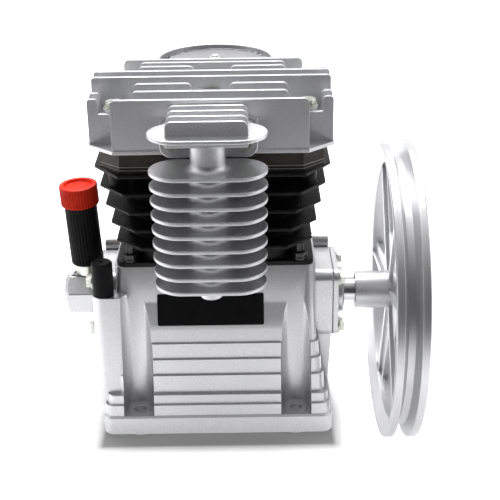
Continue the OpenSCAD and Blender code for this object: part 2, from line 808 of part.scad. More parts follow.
module rod(x) {
    rod_shape(x) difference() {
        union() {
            rotate([0, 90, 0]) cylinder(r = big_end_r, h = big_end_w, center = true);
            translate([-big_end_w / 2, -big_end_half, 0]) cube([big_end_w, 2 * big_end_half, rod_pad_h]);
            translate([0, 0, rod_len]) rotate([0, 90, 0]) cylinder(r = eye_r, h = eye_w, center = true);
            translate([shank_w / 2, 0, 0]) rotate([0, -90, 0]) linear_extrude(shank_w)
                polygon([[pin_r, -shank_root - shank_pocket], [rod_pad_h * 2, -shank_root], [rod_len, -shank_tip],
                    [rod_len, shank_tip], [rod_pad_h * 2, shank_root], [pin_r, shank_root + shank_pocket]]);
        }
        rotate([0, 90, 0]) cylinder(r = pin_r + run_fit, h = big_end_w + 2 * over, center = true);
        translate([0, 0, rod_len]) rotate([0, 90, 0]) cylinder(r = gudgeon_d / 2 + fit, h = eye_w + 2 * over, center = true);
        translate([-big_end_w, -big_end_half - over, -2 * big_end_r]) cube([2 * big_end_w, 2 * (big_end_half + over), 2 * big_end_r]);
        for (sx = [-1, 1]) translate([sx * shank_w / 2, 0, 0]) rotate([0, -90, 0])
            linear_extrude(shank_pocket * 2, center = true)
                polygon([[rod_pad_h * 2, shank_pocket - shank_root], [rod_len - eye_r * 1.4, shank_pocket - shank_tip],
                    [rod_len - eye_r * 1.4, shank_tip - shank_pocket], [rod_pad_h * 2, shank_root - shank_pocket]]);
        for (sy = [-1, 1]) translate([0, sy * rod_bolt_y, -over]) cylinder(r = rod_bolt_r + fit, h = rod_pad_h + 2 * over);
    }
}

module rod_cap(x) {
    rod_shape(x) difference() {
        union() {
            rotate([0, 90, 0]) cylinder(r = big_end_r, h = big_end_w, center = true);
            translate([-big_end_w / 2, -big_end_half, -rod_foot_h]) cube([big_end_w, 2 * big_end_half, rod_foot_h]);
            translate([-dipper_w / 2, -dipper_w / 4, -big_end_r - dipper_l]) cube([dipper_w, dipper_w / 2, dipper_l + over]);
        }
        rotate([0, 90, 0]) cylinder(r = pin_r + run_fit, h = big_end_w + 2 * over, center = true);
        translate([-big_end_w, -big_end_half - over, 0]) cube([2 * big_end_w, 2 * (big_end_half + over), 2 * big_end_r]);
        for (sy = [-1, 1]) translate([0, sy * rod_bolt_y, -2 * rod_foot_h]) {
            cylinder(r = rod_bolt_r + fit, h = 3 * rod_foot_h);
            cylinder(r = rod_bolt_head_r + fit, h = rod_foot_h + fit);
        }
    }
}

module rod_bolts(x) {
    rod_shape(x) for (sy = [-1, 1]) translate([0, sy * rod_bolt_y, -rod_foot_h]) {
        translate([0, 0, -rod_bolt_head_h]) cylinder(r = rod_bolt_head_r, h = rod_bolt_head_h, $fn = 6);
        translate([0, 0, -over]) cylinder(r = rod_bolt_r, h = rod_foot_h + rod_pad_h + over);
    }
}

module gudgeon_pin(x) {
    rod_shape(x) translate([0, 0, rod_len]) rotate([0, 90, 0]) difference() {
        cylinder(d = gudgeon_d, h = gudgeon_l, center = true);
        cylinder(d = gudgeon_d * gudgeon_bore_share, h = gudgeon_l + 2 * over, center = true);
    }
}

module piston(x) {
    translate([x, 0, crown_z - piston_l]) difference() {
        cylinder(r = piston_r, h = piston_l);
        difference() {
            translate([0, 0, -over]) cylinder(r = piston_r - piston_wall, h = piston_l - crown_t + over);
            for (sx = [-1, 1]) translate([sx * (boss_gap + piston_r), 0, piston_l - comp_h]) rotate([0, 90, 0])
                cylinder(r = gudgeon_d / 2 + boss_wall, h = 2 * piston_r, center = true);
        }
        translate([0, 0, piston_l - comp_h]) rotate([0, 90, 0])
            cylinder(r = gudgeon_d / 2 + fit, h = 3 * piston_r, center = true);
        for (share = ring_drop_shares) translate([0, 0, piston_l * (1 - share) - fit]) difference() {
            cylinder(r = piston_r + over, h = ring_h + 2 * fit);
            translate([0, 0, -over]) cylinder(r = piston_r - ring_depth, h = ring_h + 3 * over);
        }
    }
}

module rings(x) {
    translate([x, 0, crown_z - piston_l]) for (share = ring_drop_shares)
        translate([0, 0, piston_l * (1 - share)]) difference() {
            cylinder(r = piston_r + fit / 2, h = ring_h);
            translate([0, 0, -over]) cylinder(r = piston_r - ring_depth + fit, h = ring_h + 2 * over);
            translate([0, -ring_gap / 2, -over]) cube([2 * piston_r, ring_gap, ring_h + 2 * over]);
        }
}

module left_rod() { color("gainsboro") rod(-cyl_x); }
module right_rod() { color("gainsboro") rod(cyl_x); }
module left_rod_cap() { color("lightgray") rod_cap(-cyl_x); }
module right_rod_cap() { color("lightgray") rod_cap(cyl_x); }
module left_rod_bolts() { color("gray") rod_bolts(-cyl_x); }
module right_rod_bolts() { color("gray") rod_bolts(cyl_x); }
module left_gudgeon_pin() { color("lightsteelblue") gudgeon_pin(-cyl_x); }
module right_gudgeon_pin() { color("lightsteelblue") gudgeon_pin(cyl_x); }
module left_piston() { color("gainsboro") piston(-cyl_x); }
module right_piston() { color("gainsboro") piston(cyl_x); }
module left_rings() { color("dimgray") rings(-cyl_x); }
module right_rings() { color("dimgray") rings(cyl_x); }

// Flywheel

module rim_profile() {
    mid = rim_w / 2;
    polygon([[rim_r - rim_lip_t, 0], [rim_r - groove_lip, 0], [rim_r, groove_lip],
        [rim_r, mid - groove_top / 2], [rim_r - groove_depth, mid - groove_bottom / 2],
        [rim_r - groove_depth, mid + groove_bottom / 2], [rim_r, mid + groove_top / 2],
        [rim_r, rim_w - groove_lip], [rim_r - groove_lip, rim_w], [rim_r - rim_lip_t, rim_w],
        [rim_in_r, mid + rim_flat], [rim_in_r, mid - rim_flat]]);
}

module wheel_arm() {
    reach = rim_in_r + rim_t / 4;
    translate([0, 0, -arm_t / 2]) linear_extrude(arm_t) polygon([[web_disc_r * 0.8, -arm_root_w / 2],
        [web_disc_r + over, -arm_root_w / 2], [reach, -arm_tip_w / 2], [reach, arm_tip_w / 2],
        [web_disc_r + over, arm_root_w / 2], [web_disc_r * 0.8, arm_root_w / 2]]);
    translate([hub_d / 2 - over, -arm_rib_t / 2, -arm_rib_w / 2]) cube([reach - hub_d / 2 + over, arm_rib_t, arm_rib_w]);
}

module flywheel() {
    color("gainsboro") difference() {
        union() {
            along_x(rim_x) rotate_extrude($fn = 128) rim_profile();
            along_x(rim_mid - web_disc_t / 2) cylinder(r = web_disc_r, h = web_disc_t);
            along_x(hub_x) cylinder(d = hub_d, h = hub_end - hub_x);
            along_x(rim_mid) for (i = [0:arm_count - 1]) rotate([0, 0, 90 + arm_phase + i * 360 / arm_count]) wheel_arm();
        }
        along_x(hub_x - over) cylinder(r = shaft_r + fit / 2, h = rim_w + rim_x);
        translate([hub_x - over, -key_w / 2, crank_z]) cube([key_x + key_l - hub_x + over, key_w, shaft_r + key_h / 2]);
    }
}

module flywheel_washer() {
    color("gray") along_x(hub_end) difference() {
        cylinder(r = washer_r, h = washer_t);
        translate([0, 0, -over]) cylinder(r = wheel_bolt_r + fit, h = washer_t + 2 * over);
    }
}

module flywheel_bolt() {
    color("lightgray") along_x(hub_end + washer_t)
        hex_bolt(2 * (wheel_bolt_r - fit), wheel_bolt_af, wheel_bolt_h, end_thread_l);
}

// Cylinders

function fin_z(i) = fin_top - fin_t - i * fin_pitch;

module block_core(r) {
    for (sx = [-1, 1]) translate([sx * cyl_x, 0]) circle(r);
    square([2 * cyl_x, web_wall], center = true);
}

module cylinder_block() {
    foot_z = case_top + gasket_t;
    color([0.12, 0.12, 0.13]) difference() {
        union() {
            level(foot_z, foot_z + foot_t) rounded_rect(foot_l, foot_w, base_r);
            level(foot_z, deck_z) block_core(barrel_r);
            for (sx = [-1, 1]) translate([sx * cyl_x, 0, foot_z - spigot_drop])
                cylinder(r = barrel_hole_r - fit * 2, h = spigot_drop + over);
            for (i = [0:fin_count - 1]) level(fin_z(i), fin_z(i) + fin_t)
                octagon(fin_l - i * fin_step_l, fin_w - i * fin_step_w, fin_cut,
                    fin_cut + (fin_count - 1 - i) * fin_cut_step);
            level(fin_z(0), deck_z) plate_outline(fine_edge);
            level(fin_z(1), fin_top) {
                corners(head_bolt_x, head_bolt_y) circle(bolt_column_r);
                for (sy = [-1, 1]) translate([0, sy * mid_bolt_y]) circle(bolt_column_r);
            }
        }
        for (sx = [-1, 1]) translate([sx * cyl_x, 0, foot_z - spigot_drop - over])
            cylinder(d = bore_d, h = deck_z - foot_z + spigot_drop + 2 * over);
        corners(stud_x, stud_y) translate([0, 0, foot_z - over]) cylinder(r = bolt_d / 2 + fit, h = foot_t + 2 * over);
        head_holes(deck_z - 2 * bolt_column_r, deck_z + over);
    }
}

module head_holes(z0, z1) {
    corners(head_bolt_x, head_bolt_y) translate([0, 0, z0]) cylinder(r = bolt_d / 2 + fit, h = z1 - z0);
    for (sy = [-1, 1]) translate([0, sy * mid_bolt_y, z0]) cylinder(r = bolt_d / 2 + fit, h = z1 - z0);
}

module base_gasket() {
    color("darkslategray") difference() {
        level(case_top, case_top + gasket_t) rounded_rect(foot_l, foot_w, base_r);
        for (sx = [-1, 1]) translate([sx * cyl_x, 0, case_top - over]) cylinder(r = barrel_hole_r, h = 2 * over + gasket_t);
        corners(stud_x, stud_y) translate([0, 0, case_top - over]) cylinder(r = bolt_d / 2 + fit, h = 2 * over + gasket_t);
    }
}

module base_studs() {
    color("lightgray") corners(stud_x, stud_y) translate([0, 0, case_top - stud_down])
        cylinder(r = bolt_d / 2, h = stud_down + gasket_t + stud_up + nut_h / 2);
}

module base_nuts() {
    color("gray") corners(stud_x, stud_y) translate([0, 0, case_top + gasket_t + foot_t]) difference() {
        union() {
            cylinder(r = bolt_af * 0.6, h = nut_h / 4);
            cylinder(r = bolt_af / 2 / cos(30), h = nut_h, $fn = 6);
        }
        translate([0, 0, -over]) cylinder(r = bolt_d / 2 + fit / 2, h = nut_h + 2 * over);
    }
}

// Valve gear

module plate_outline(wider) {
    octagon(head_l - 2 * plate_inset + wider, head_w - 2 * plate_inset + wider, head_cut - plate_inset / 2,
        head_side_cut - plate_inset / 2);
}

module gasket_sheet(z) {
    difference() {
        level(z, z + gasket_t) plate_outline(0);
        for (sx = [-1, 1]) translate([sx * cyl_x, 0, z - over])
            cylinder(r = chamber_w * 0.8, h = gasket_t + 2 * over);
        head_holes(z - over, z + gasket_t + over);
    }
}

module ports(z0, z1) {
    for (sx = [-1, 1], sy = [-1, 1]) translate([sx * cyl_x, sy * port_pitch / 2, z0]) cylinder(r = port_r, h = z1 - z0);
}

module cylinder_gasket() { color("dimgray") gasket_sheet(deck_z); }

module lower_valve_plate() {
    color([0.2, 0.17, 0.14]) difference() {
        level(lower_plate_z, lower_plate_z + lower_plate_t) plate_outline(0);
        ports(lower_plate_z - over, upper_plate_z);
        head_holes(lower_plate_z - over, upper_plate_z);
    }
}

module valve_reeds() {
    reed_z = lower_plate_z + lower_plate_t;
    color("lightsteelblue") for (sx = [-1, 1], sy = [-1, 1]) translate([sx * cyl_x, sy * port_pitch / 2, reed_z])
        linear_extrude(reed_t) {
            square([reed_l - reed_w, reed_w], center = true);
            for (e = [-1, 1]) translate([e * (reed_l - reed_w) / 2, 0]) circle(d = reed_w);
        }
}

// Thin gasket that gives the reeds their room between the plates
module plate_gasket() {
    z = upper_plate_z - gasket_t;
    color("dimgray") difference() {
        level(z, upper_plate_z) plate_outline(0);
        for (sx = [-1, 1], sy = [-1, 1]) translate([sx * cyl_x, sy * port_pitch / 2, z])
            level(-over, gasket_t + over) rounded_rect(reed_l + 2 * over, reed_w + over, reed_w / 3);
        head_holes(z - over, upper_plate_z + over);
    }
}

module upper_valve_plate() {
    color([0.2, 0.17, 0.14]) difference() {
        level(upper_plate_z, upper_plate_z + upper_plate_t) plate_outline(0);
        ports(upper_plate_z - over, head_z);
        head_holes(upper_plate_z - over, head_z);
    }
}

module head_gasket() {
    z = head_z - gasket_t;
    color("dimgray") difference() {
        level(z, head_z) plate_outline(0);
        for (sx = [-1, 1], sy = [-1, 1]) translate([sx * cyl_x, sy * port_pitch / 2, z])
            level(-over, gasket_t + over) rounded_rect(reed_l, reed_w, reed_w / 3);
        head_holes(z - over, head_z + over);
    }
}

// Cylinder head

function fin_crest(i) = head_top - fin_drop_shares[i] * (head_top - head_z);

// Fin that stands on the head along X, from x0 to x1, with round upper corners
module head_fin(x0, x1, y, top, r) {
    tall = top - floor_z;
    along_y((x0 + x1) / 2, y - head_fin_t / 2, floor_z + tall / 2) linear_extrude(head_fin_t) difference() {
        translate([0, r / 2]) rounded_rect(x1 - x0, tall + r, r);
        translate([0, tall / 2 + r]) square([x1 - x0 + over, 2 * r], center = true);
    }
}

module head_fins() {
    rows = [for (i = [0:2]) (i + 0.5) * head_pitch];
    for (sy = [-1, 1]) {
        head_fin(-head_l / 2, head_l / 2, sy * rows[0], fin_crest(0), head_fin_r);
        for (sx = [-1, 1]) head_fin(min(sx * pair_gap_x, sx * second_fin_x), max(sx * pair_gap_x, sx * second_fin_x),
            sy * rows[1], fin_crest(1), head_fin_r);
        head_fin(-second_fin_x, second_fin_x, sy * rows[2], fin_crest(2), head_fin_r);
        head_fin(-outer_fin_x, outer_fin_x, sy * (head_w / 2 - head_lip - head_fin_t / 2), fin_crest(3), head_fin_r);
        for (sx = [-1, 1], row = [1, 2]) ear(sx, sy * rows[row], ear_z);
    }
}

module ear(sx, y, top) {
    outer = sx * (head_l / 2 - head_lip);
    head_fin(min(outer, outer - sx * ear_l), max(outer, outer - sx * ear_l), y, top, ear_r);
}

// Walls of the head, which stand back behind the cut corners of its flange
module head_outline(inset) {
    square([head_l - 2 * (head_lip + inset), head_w - 2 * (head_side_cut + inset)], center = true);
    square([head_l - 2 * (head_cut + inset), head_w - 2 * (head_lip + inset)], center = true);
}

module head_shell() {
    level(head_z, head_z + head_plate_t) octagon(head_l, head_w, head_cut, head_side_cut);
    difference() {
        level(head_z, ledge_z) head_outline(0);
        level(floor_z, ledge_z + over) head_outline(wall_t);
    }
    level(head_z, chamber_z) rounded_rect(2 * chamber_l, 2 * (chamber_w + wall_t), wall_t);
    corners(head_bolt_x, head_bolt_y) cylinder_at(head_z, ledge_z + seat_rise, bolt_seat_r);
    for (sy = [-1, 1]) translate([0, sy * mid_bolt_y]) cylinder_at(head_z, ledge_z + mid_seat_rise, bolt_seat_r);
}

module cylinder_at(z0, z1, r) {
    translate([0, 0, z0]) cylinder(r = r, h = z1 - z0);
}

module cylinder_head() {
    color("silver") difference() {
        union() {
            head_shell();
            intersection() {
                head_fins();
                level(head_z, head_top + over) head_outline(0);
            }
            for (sy = [-1, 1]) translate([flange_x(sy), sy * (head_face - wall_t)]) level(head_z, cooler_top)
                square([cooler_flange_l, 2 * wall_t], center = true);
        }
        for (sy = [-1, 1]) translate([0, sy * chamber_w / 2, 0]) level(head_z - over, chamber_z - wall_t)
            difference() {
                rounded_rect(2 * (chamber_l - wall_t), chamber_w - wall_t, wall_t);
                translate([0, sy * (mid_bolt_y - chamber_w / 2)]) circle(bolt_seat_r);
            }
        for (sy = [-1, 1]) gas_duct(sy);
        head_holes(head_z - over, head_top + over);
        for (sx = [-1, 1], sy = [-1, 1])
            translate([flange_x(sy) + sx * cooler_bolt_x, sy * head_face, cooler_bolt_z]) rotate([90, 0, 0])
                cylinder(r = bolt_d / 2 + fit, h = 2 * thread_l, center = true);
    }
}

// Port from a gas chamber out through the front or rear face
module gas_duct(sy) {
    translate([0, sy * (head_face - thread_l), gas_z]) rotate([90, 0, 0])
        cylinder(r = gas_r, h = 2 * (thread_l + over), center = true);
}

module head_bolts() {
    color("gainsboro") {
        corners(head_bolt_x, head_bolt_y) translate([0, 0, ledge_z + seat_rise])
            hex_bolt(bolt_d, bolt_af, bolt_head_h, ledge_z + seat_rise - deck_z + bolt_column_r);
        for (sy = [-1, 1]) translate([0, sy * mid_bolt_y, ledge_z + mid_seat_rise])
            hex_bolt(bolt_d, bolt_af, bolt_head_h, ledge_z + mid_seat_rise - deck_z + bolt_column_r);
    }
}

// Aftercooler in front of the head

module cooler_fin_outline(shrink) {
    l = cooler_l - shrink;
    hull_r = cooler_r;
    intersection() {
        union() {
            square([l - 2 * hull_r, cooler_w], center = true);
            for (sx = [-1, 1]) translate([sx * (l / 2 - hull_r), 0]) circle(hull_r);
        }
        square([l, cooler_w], center = true);
    }
}

function flange_x(sy) = sy < 0 ? cooler_x : 0;

module aftercooler() {
    face = head_face + gasket_t;
    crest_first = crest_pitch * 0.8 - cooler_r;
    color("gainsboro") translate([cooler_x, 0, 0]) difference() {
        union() {
            along_y(0, -face - cooler_flange_t, cooler_flange_z) linear_extrude(cooler_flange_t)
                rounded_rect(cooler_flange_l, cooler_flange_h, base_r);
            translate([0, -cooler_y, 0]) {
                level(cooler_last, cooler_top) circle(d = cooler_tube_d);
                level(cooler_last - outlet_boss_l, cooler_last + over) circle(outlet_boss_r);
                level(cooler_top - cooler_fin_t, cooler_top) cooler_fin_outline(0);
                for (i = [0:cooler_fins - 1])
                    level(cooler_first - cooler_fin_t - i * cooler_pitch, cooler_first - i * cooler_pitch)
                        cooler_fin_outline(i * cooler_step * 2);
            }
            level(cooler_flange_z - cooler_flange_h / 2 + wall_t, cooler_top) translate([0, -(face + cooler_y) / 2])
                square([duct_w, cooler_y - face], center = true);
            level(cooler_top - cooler_fin_t, cooler_top) translate([0, -(face + cooler_y) / 2])
                square([crest_l, cooler_y - face], center = true);
            for (i = [0:crest_count - 1]) translate([0, i * crest_pitch - cooler_y + crest_first, 0]) crest();
        }
        translate([0, -cooler_y, cooler_last - outlet_boss_l - over]) {
            cylinder(d = outlet_d, h = outlet_thread_l + over);
            cylinder(r = gas_r, h = cooler_top - cooler_last + outlet_boss_l - cooler_fin_t);
        }
        along_y(-cooler_x, -cooler_y, gas_z) cylinder(r = gas_r, h = cooler_y);
        for (sx = [-1, 1]) translate([sx * cooler_bolt_x, -face, cooler_bolt_z]) rotate([90, 0, 0])
            cylinder(r = bolt_d / 2 + fit, h = 4 * cooler_flange_t, center = true);
    }
}

// One of the short fins on top of the aftercooler
module crest() {
    along_y(0, -crest_t / 2, cooler_top + crest_h / 2 - crest_r) linear_extrude(crest_t) difference() {
        rounded_rect(crest_l, crest_h + 2 * crest_r, crest_r);
        translate([0, crest_h / 2 + over + crest_r * 0.7]) square([crest_l + over, crest_r * 0.6], center = true);
    }
}

module flange_gasket(sy) {
    along_y(flange_x(sy), sy > 0 ? head_face : -head_face - gasket_t, cooler_flange_z) linear_extrude(gasket_t)
        difference() {
            rounded_rect(cooler_flange_l, cooler_flange_h, base_r);
            translate([-flange_x(sy), cooler_flange_z - gas_z]) circle(gas_r);
            for (sx = [-1, 1]) translate([sx * cooler_bolt_x, cooler_flange_z - cooler_bolt_z])
                circle(bolt_d / 2 + fit);
        }
}

module flange_bolts(sy) {
    seat = head_face + gasket_t + cooler_flange_t;
    for (sx = [-1, 1]) translate([flange_x(sy) + sx * cooler_bolt_x, sy * seat, cooler_bolt_z])
        rotate([-sy * 90, 0, 0])
        hex_bolt(bolt_d, bolt_af, bolt_head_h, seat - head_face + thread_l * 0.9);
}

module aftercooler_gasket() { color("darkslategray") flange_gasket(-1); }
module aftercooler_bolts() { color("gainsboro") flange_bolts(-1); }

// Air intake behind the head

module intake_gasket() { color("darkslategray") flange_gasket(1); }
module intake_bolts() { color("gainsboro") flange_bolts(1); }

// Cast housing: flange, short duct and the pan that holds the filter element
module filter_base() {
    face = head_face + gasket_t;
    pan_r = filter_r - filter_wall - lid_gap;
    pan_top = filter_top - lid_h;
    lip_h = filter_h - lid_rim_h - filter_wall - lid_gap;
    color("silver") difference() {
        union() {
            along_y(0, face, cooler_flange_z) linear_extrude(cooler_flange_t)
                rounded_rect(cooler_flange_l, cooler_flange_h, base_r);
            along_y(0, face, gas_z) cylinder(r = gas_r + wall_t, h = filter_y - element_out - face);
            translate([0, filter_y, filter_z]) rotate_extrude() polygon([[0, 0], [filter_r - fine_edge * 2, 0],
                [filter_r, fine_edge * 2], [filter_r, pan_top - filter_z - fit], [pan_r, pan_top - filter_z - fit],
                [pan_r, lip_h], [pan_r - filter_wall, lip_h],
                [pan_r - filter_wall, wall_t], [0, wall_t]]);
            translate([0, filter_y, filter_z]) cylinder(r = stem_r, h = filter_h - lid_rim_h + nut_h + fine_edge);
        }
        along_y(0, face - over, gas_z) cylinder(r = gas_r, h = filter_y - element_out - face + 2 * over);
        for (sx = [-1, 1]) translate([sx * cooler_bolt_x, face, cooler_bolt_z]) rotate([90, 0, 0])
            cylinder(r = bolt_d / 2 + fit, h = 4 * cooler_flange_t, center = true);
    }
}

module filter_element() {
    color("beige") translate([0, filter_y, filter_z + wall_t + fit]) difference() {
        cylinder(r = element_out, h = filter_h - wall_t - lid_rim_h - filter_wall - 2 * fit);
        translate([0, 0, -over]) cylinder(r = element_in, h = filter_h);
    }
}

module filter_cover() {
    floor_h = filter_h - lid_rim_h;
    color("silver") translate([0, filter_y, filter_z]) difference() {
        rotate_extrude() polygon([[stem_r + fit, floor_h - filter_wall], [filter_r - filter_wall, floor_h - filter_wall],
            [filter_r - filter_wall, filter_h - lid_h], [filter_r, filter_h - lid_h], [filter_r, filter_h - fine_edge],
            [filter_r - fine_edge / 2, filter_h], [filter_r - filter_wall, filter_h],
            [filter_r - filter_wall * 1.4, floor_h], [stem_r + fit, floor_h]]);
        for (i = [0:slot_count - 1]) rotate([0, 0, i * 360 / slot_count])
            translate([filter_r - slot_in, -slot_l / 2, floor_h - filter_wall - over])
                cube([slot_w, slot_l, filter_wall + 2 * over]);
    }
}

module filter_nut() {
    color("gainsboro") translate([0, filter_y, filter_top - lid_rim_h]) difference() {
        union() {
            cylinder(r = filter_nut_af * 0.7, h = nut_h / 4);
            cylinder(r = filter_nut_af / 2 / cos(30), h = nut_h, $fn = 6);
        }
        translate([0, 0, -over]) cylinder(r = stem_r + fit / 2, h = nut_h + 2 * over);
    }
}

// Oil filler on the plain end

module at_neck(z) {
    translate([-neck_x, 0, crank_z]) rotate([0, -neck_lean, 0]) translate([0, 0, z - crank_z]) children();
}

module filler_collar() {
    seat = crank_z + filler_boss_af / 2 + collar_gap;
    color("gray") at_neck(seat) difference() {
        union() {
            translate([0, 0, -collar_stub_l]) cylinder(r = collar_stub_r, h = collar_stub_l + over);
            cylinder(r = collar_r, h = neck_z - seat + collar_grip);
        }
        translate([0, 0, -collar_stub_l - over]) cylinder(r = collar_bore_r, h = neck_l);
    }
}

module filler_tube() {
    color([0.1, 0.1, 0.1]) at_neck(neck_z) difference() {
        rotate_extrude() polygon([[collar_r + fit, 0], [neck_d / 2 - fine_edge, 0], [neck_d / 2, fine_edge],
            [neck_d / 2, neck_l], [collar_r + fit, neck_l]]);
        for (i = [0:flute_count - 1]) rotate([0, 0, i * 360 / flute_count])
            translate([neck_d / 2 + flute_r / 2, 0, neck_wall]) cylinder(r = flute_r, h = neck_l, $fn = 24);
    }
}

module oil_cap() {
    rim = cap_d / 2 - cap_rib_r;
    color("red") at_neck(neck_z + neck_l + neck_clear) {
        rotate_extrude() polygon([[0, 0], [rim - cap_edge, 0], [rim, cap_edge], [rim, cap_h - cap_edge],
            [rim - cap_edge, cap_h], [cap_recess_r + cap_edge / 2, cap_h], [cap_recess_r, cap_h - cap_recess_h],
            [0, cap_h - cap_recess_h]]);
        for (i = [0:cap_ribs - 1]) rotate([0, 0, i * 360 / cap_ribs])
            translate([rim, 0, 2 * cap_edge]) cylinder(r = cap_rib_r, h = cap_h - 4 * cap_edge, $fn = 24);
        translate([0, 0, -cap_plug_l]) cylinder(r = collar_r - neck_clear, h = cap_plug_l + over);
    }
}

crankcase();
name_plate();
vent_cap();
drain_plug();
oil_sight_glass();
end_plugs();
plain_end_cover();
plain_end_gasket();
plain_end_bolts();
filler_collar();
filler_tube();
oil_cap();
drive_end_cover();
drive_end_gasket();
drive_end_bolts();
shaft_seal();
drive_bearing();
plain_bearing();
crankshaft();
shaft_key();
flywheel();
flywheel_washer();
flywheel_bolt();
left_rod();
right_rod();
left_rod_cap();
right_rod_cap();
left_rod_bolts();
right_rod_bolts();
left_gudgeon_pin();
right_gudgeon_pin();
left_piston();
right_piston();
left_rings();
right_rings();
cylinder_block();
base_gasket();
base_studs();
base_nuts();
cylinder_gasket();
lower_valve_plate();
valve_reeds();
plate_gasket();
upper_valve_plate();
head_gasket();
cylinder_head();
head_bolts();
aftercooler();
aftercooler_gasket();
aftercooler_bolts();
intake_gasket();
intake_bolts();
filter_base();
filter_element();
filter_cover();
filter_nut();
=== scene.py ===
# Looks of the compressor pump head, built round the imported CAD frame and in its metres.
# The dictionaries of castings and turned pieces are in mm, and mm scales them.
import json
import math
import bmesh
import bpy
from mathutils import Matrix, Vector


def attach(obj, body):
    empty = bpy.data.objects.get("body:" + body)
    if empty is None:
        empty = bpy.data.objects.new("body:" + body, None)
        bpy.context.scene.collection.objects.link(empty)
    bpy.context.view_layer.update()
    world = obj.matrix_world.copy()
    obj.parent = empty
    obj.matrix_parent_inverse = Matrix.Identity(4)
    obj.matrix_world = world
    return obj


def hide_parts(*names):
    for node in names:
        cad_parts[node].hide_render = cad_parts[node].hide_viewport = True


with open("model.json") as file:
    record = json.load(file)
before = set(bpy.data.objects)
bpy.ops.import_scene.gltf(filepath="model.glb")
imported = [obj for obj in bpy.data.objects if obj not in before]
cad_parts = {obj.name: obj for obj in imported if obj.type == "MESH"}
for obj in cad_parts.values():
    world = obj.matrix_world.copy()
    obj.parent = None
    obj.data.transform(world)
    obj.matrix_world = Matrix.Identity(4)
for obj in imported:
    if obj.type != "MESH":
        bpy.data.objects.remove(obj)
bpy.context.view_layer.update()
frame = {"nodes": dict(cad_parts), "record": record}
scene = bpy.context.scene
slotOfNode = {row["node"]: row["material_slot"] for row in frame["record"]["subparts"]}
bodyNodes = frame["record"]["behaviour"]["bodies"]
bodyOfNode = {node: body for body, nodes in bodyNodes.items() for node in nodes}
mm = 0.001
crankHeight = 0.119      # crankshaft axis above the mounting plane
print("frame loaded:", len(frame["nodes"]), "nodes")

# Camera

cameraSetup = {
    "place": (0.0335, -1.0402, 0.6268),
    "pitchDown": 24,     # degrees
    "roll": 0.8,         # lifts the right side of the picture
    "lens": 83.2,
    "sensor": 36,
    "farthest": 50,
}


def placeCamera(setup):
    data = bpy.data.cameras.new("photoCamera")
    data.lens = setup["lens"]
    data.sensor_width = setup["sensor"]
    data.clip_end = setup["farthest"]
    camera = bpy.data.objects.new("photoCamera", data)
    scene.collection.objects.link(camera)
    camera.matrix_world = (Matrix.Translation(setup["place"])
                           @ Matrix.Rotation(math.radians(90 - setup["pitchDown"]), 4, "X")
                           @ Matrix.Rotation(math.radians(-setup["roll"]), 4, "Z"))
    scene.camera = camera


placeCamera(cameraSetup)
print("camera placed")

# Steps that the finishes share


def startMaterial(name, sockets):
    material = bpy.data.materials.new(name)
    material.use_nodes = True
    tree = material.node_tree
    shader = tree.nodes["Principled BSDF"]
    for socket, value in sockets.items():
        shader.inputs[socket].default_value = value
    return material, tree, shader


def addNode(tree, kind, values=None, **settings):
    made = tree.nodes.new("ShaderNode" + kind)
    for key, value in settings.items():
        setattr(made, key, value)
    for socket, value in (values or {}).items():
        if isinstance(value, bpy.types.NodeSocket):
            tree.links.new(value, made.inputs[socket])
        else:
            made.inputs[socket].default_value = value
    return made


def calculate(tree, operation, first, second, clamp=False):
    made = addNode(tree, "Math", {0: first, 1: second}, operation=operation, use_clamp=clamp)
    return made.outputs[0]


def remap(tree, value, low, high, newLow=0.0, newHigh=1.0):
    made = addNode(tree, "MapRange", {"Value": value, "From Min": low, "From Max": high,
                                      "To Min": newLow, "To Max": newHigh})
    return made.outputs[0]


def mixColours(tree, factor, first, second):
    made = addNode(tree, "Mix", data_type="RGBA")
    for index, value in ((0, factor), (6, first), (7, second)):
        if isinstance(value, bpy.types.NodeSocket):
            tree.links.new(value, made.inputs[index])
        elif index:
            made.inputs[index].default_value = (*value, 1)
        else:
            made.inputs[index].default_value = value
    return made.outputs[2]


# Coordinates that run round the crankshaft axis, so that noise becomes turning marks, and the radius
def turnedPlace(tree, place, squeeze):
    axis = (0, 0, crankHeight)
    centred = addNode(tree, "VectorMath", {0: place, 1: axis}, operation="SUBTRACT").outputs[0]
    flat = addNode(tree, "VectorMath", {0: centred, 1: (0, 1, 1)}, operation="MULTIPLY").outputs[0]
    radius = addNode(tree, "VectorMath", {0: flat}, operation="LENGTH").outputs["Value"]
    along = addNode(tree, "SeparateXYZ", {0: centred}).outputs[0]
    turned = addNode(tree, "CombineXYZ", {0: along, 1: radius}).outputs[0]
    rough = addNode(tree, "VectorMath", {0: place, "Scale": squeeze}, operation="SCALE").outputs[0]
    return addNode(tree, "VectorMath", {0: turned, 1: rough}, operation="ADD").outputs[0], radius


# Finishes, one for each material slot of the record

# Shared by all finishes; a part within castWithin of the crank axis is left as cast. The edge turn range
# picks the edges that get a painted highlight and wear.
surface = {"cloudDetail": 4.0, "grainDetail": 3.0, "grainRoughness": 0.6, "spread": (0.34, 0.66),
           "wearAndHighlightTurn": (1.0, 0.90), "roughFrom": (0.3, 0.7), "samples": 6,
           "sandScale": 640.0, "sandDepth": 5, "castBlend": 0.001}
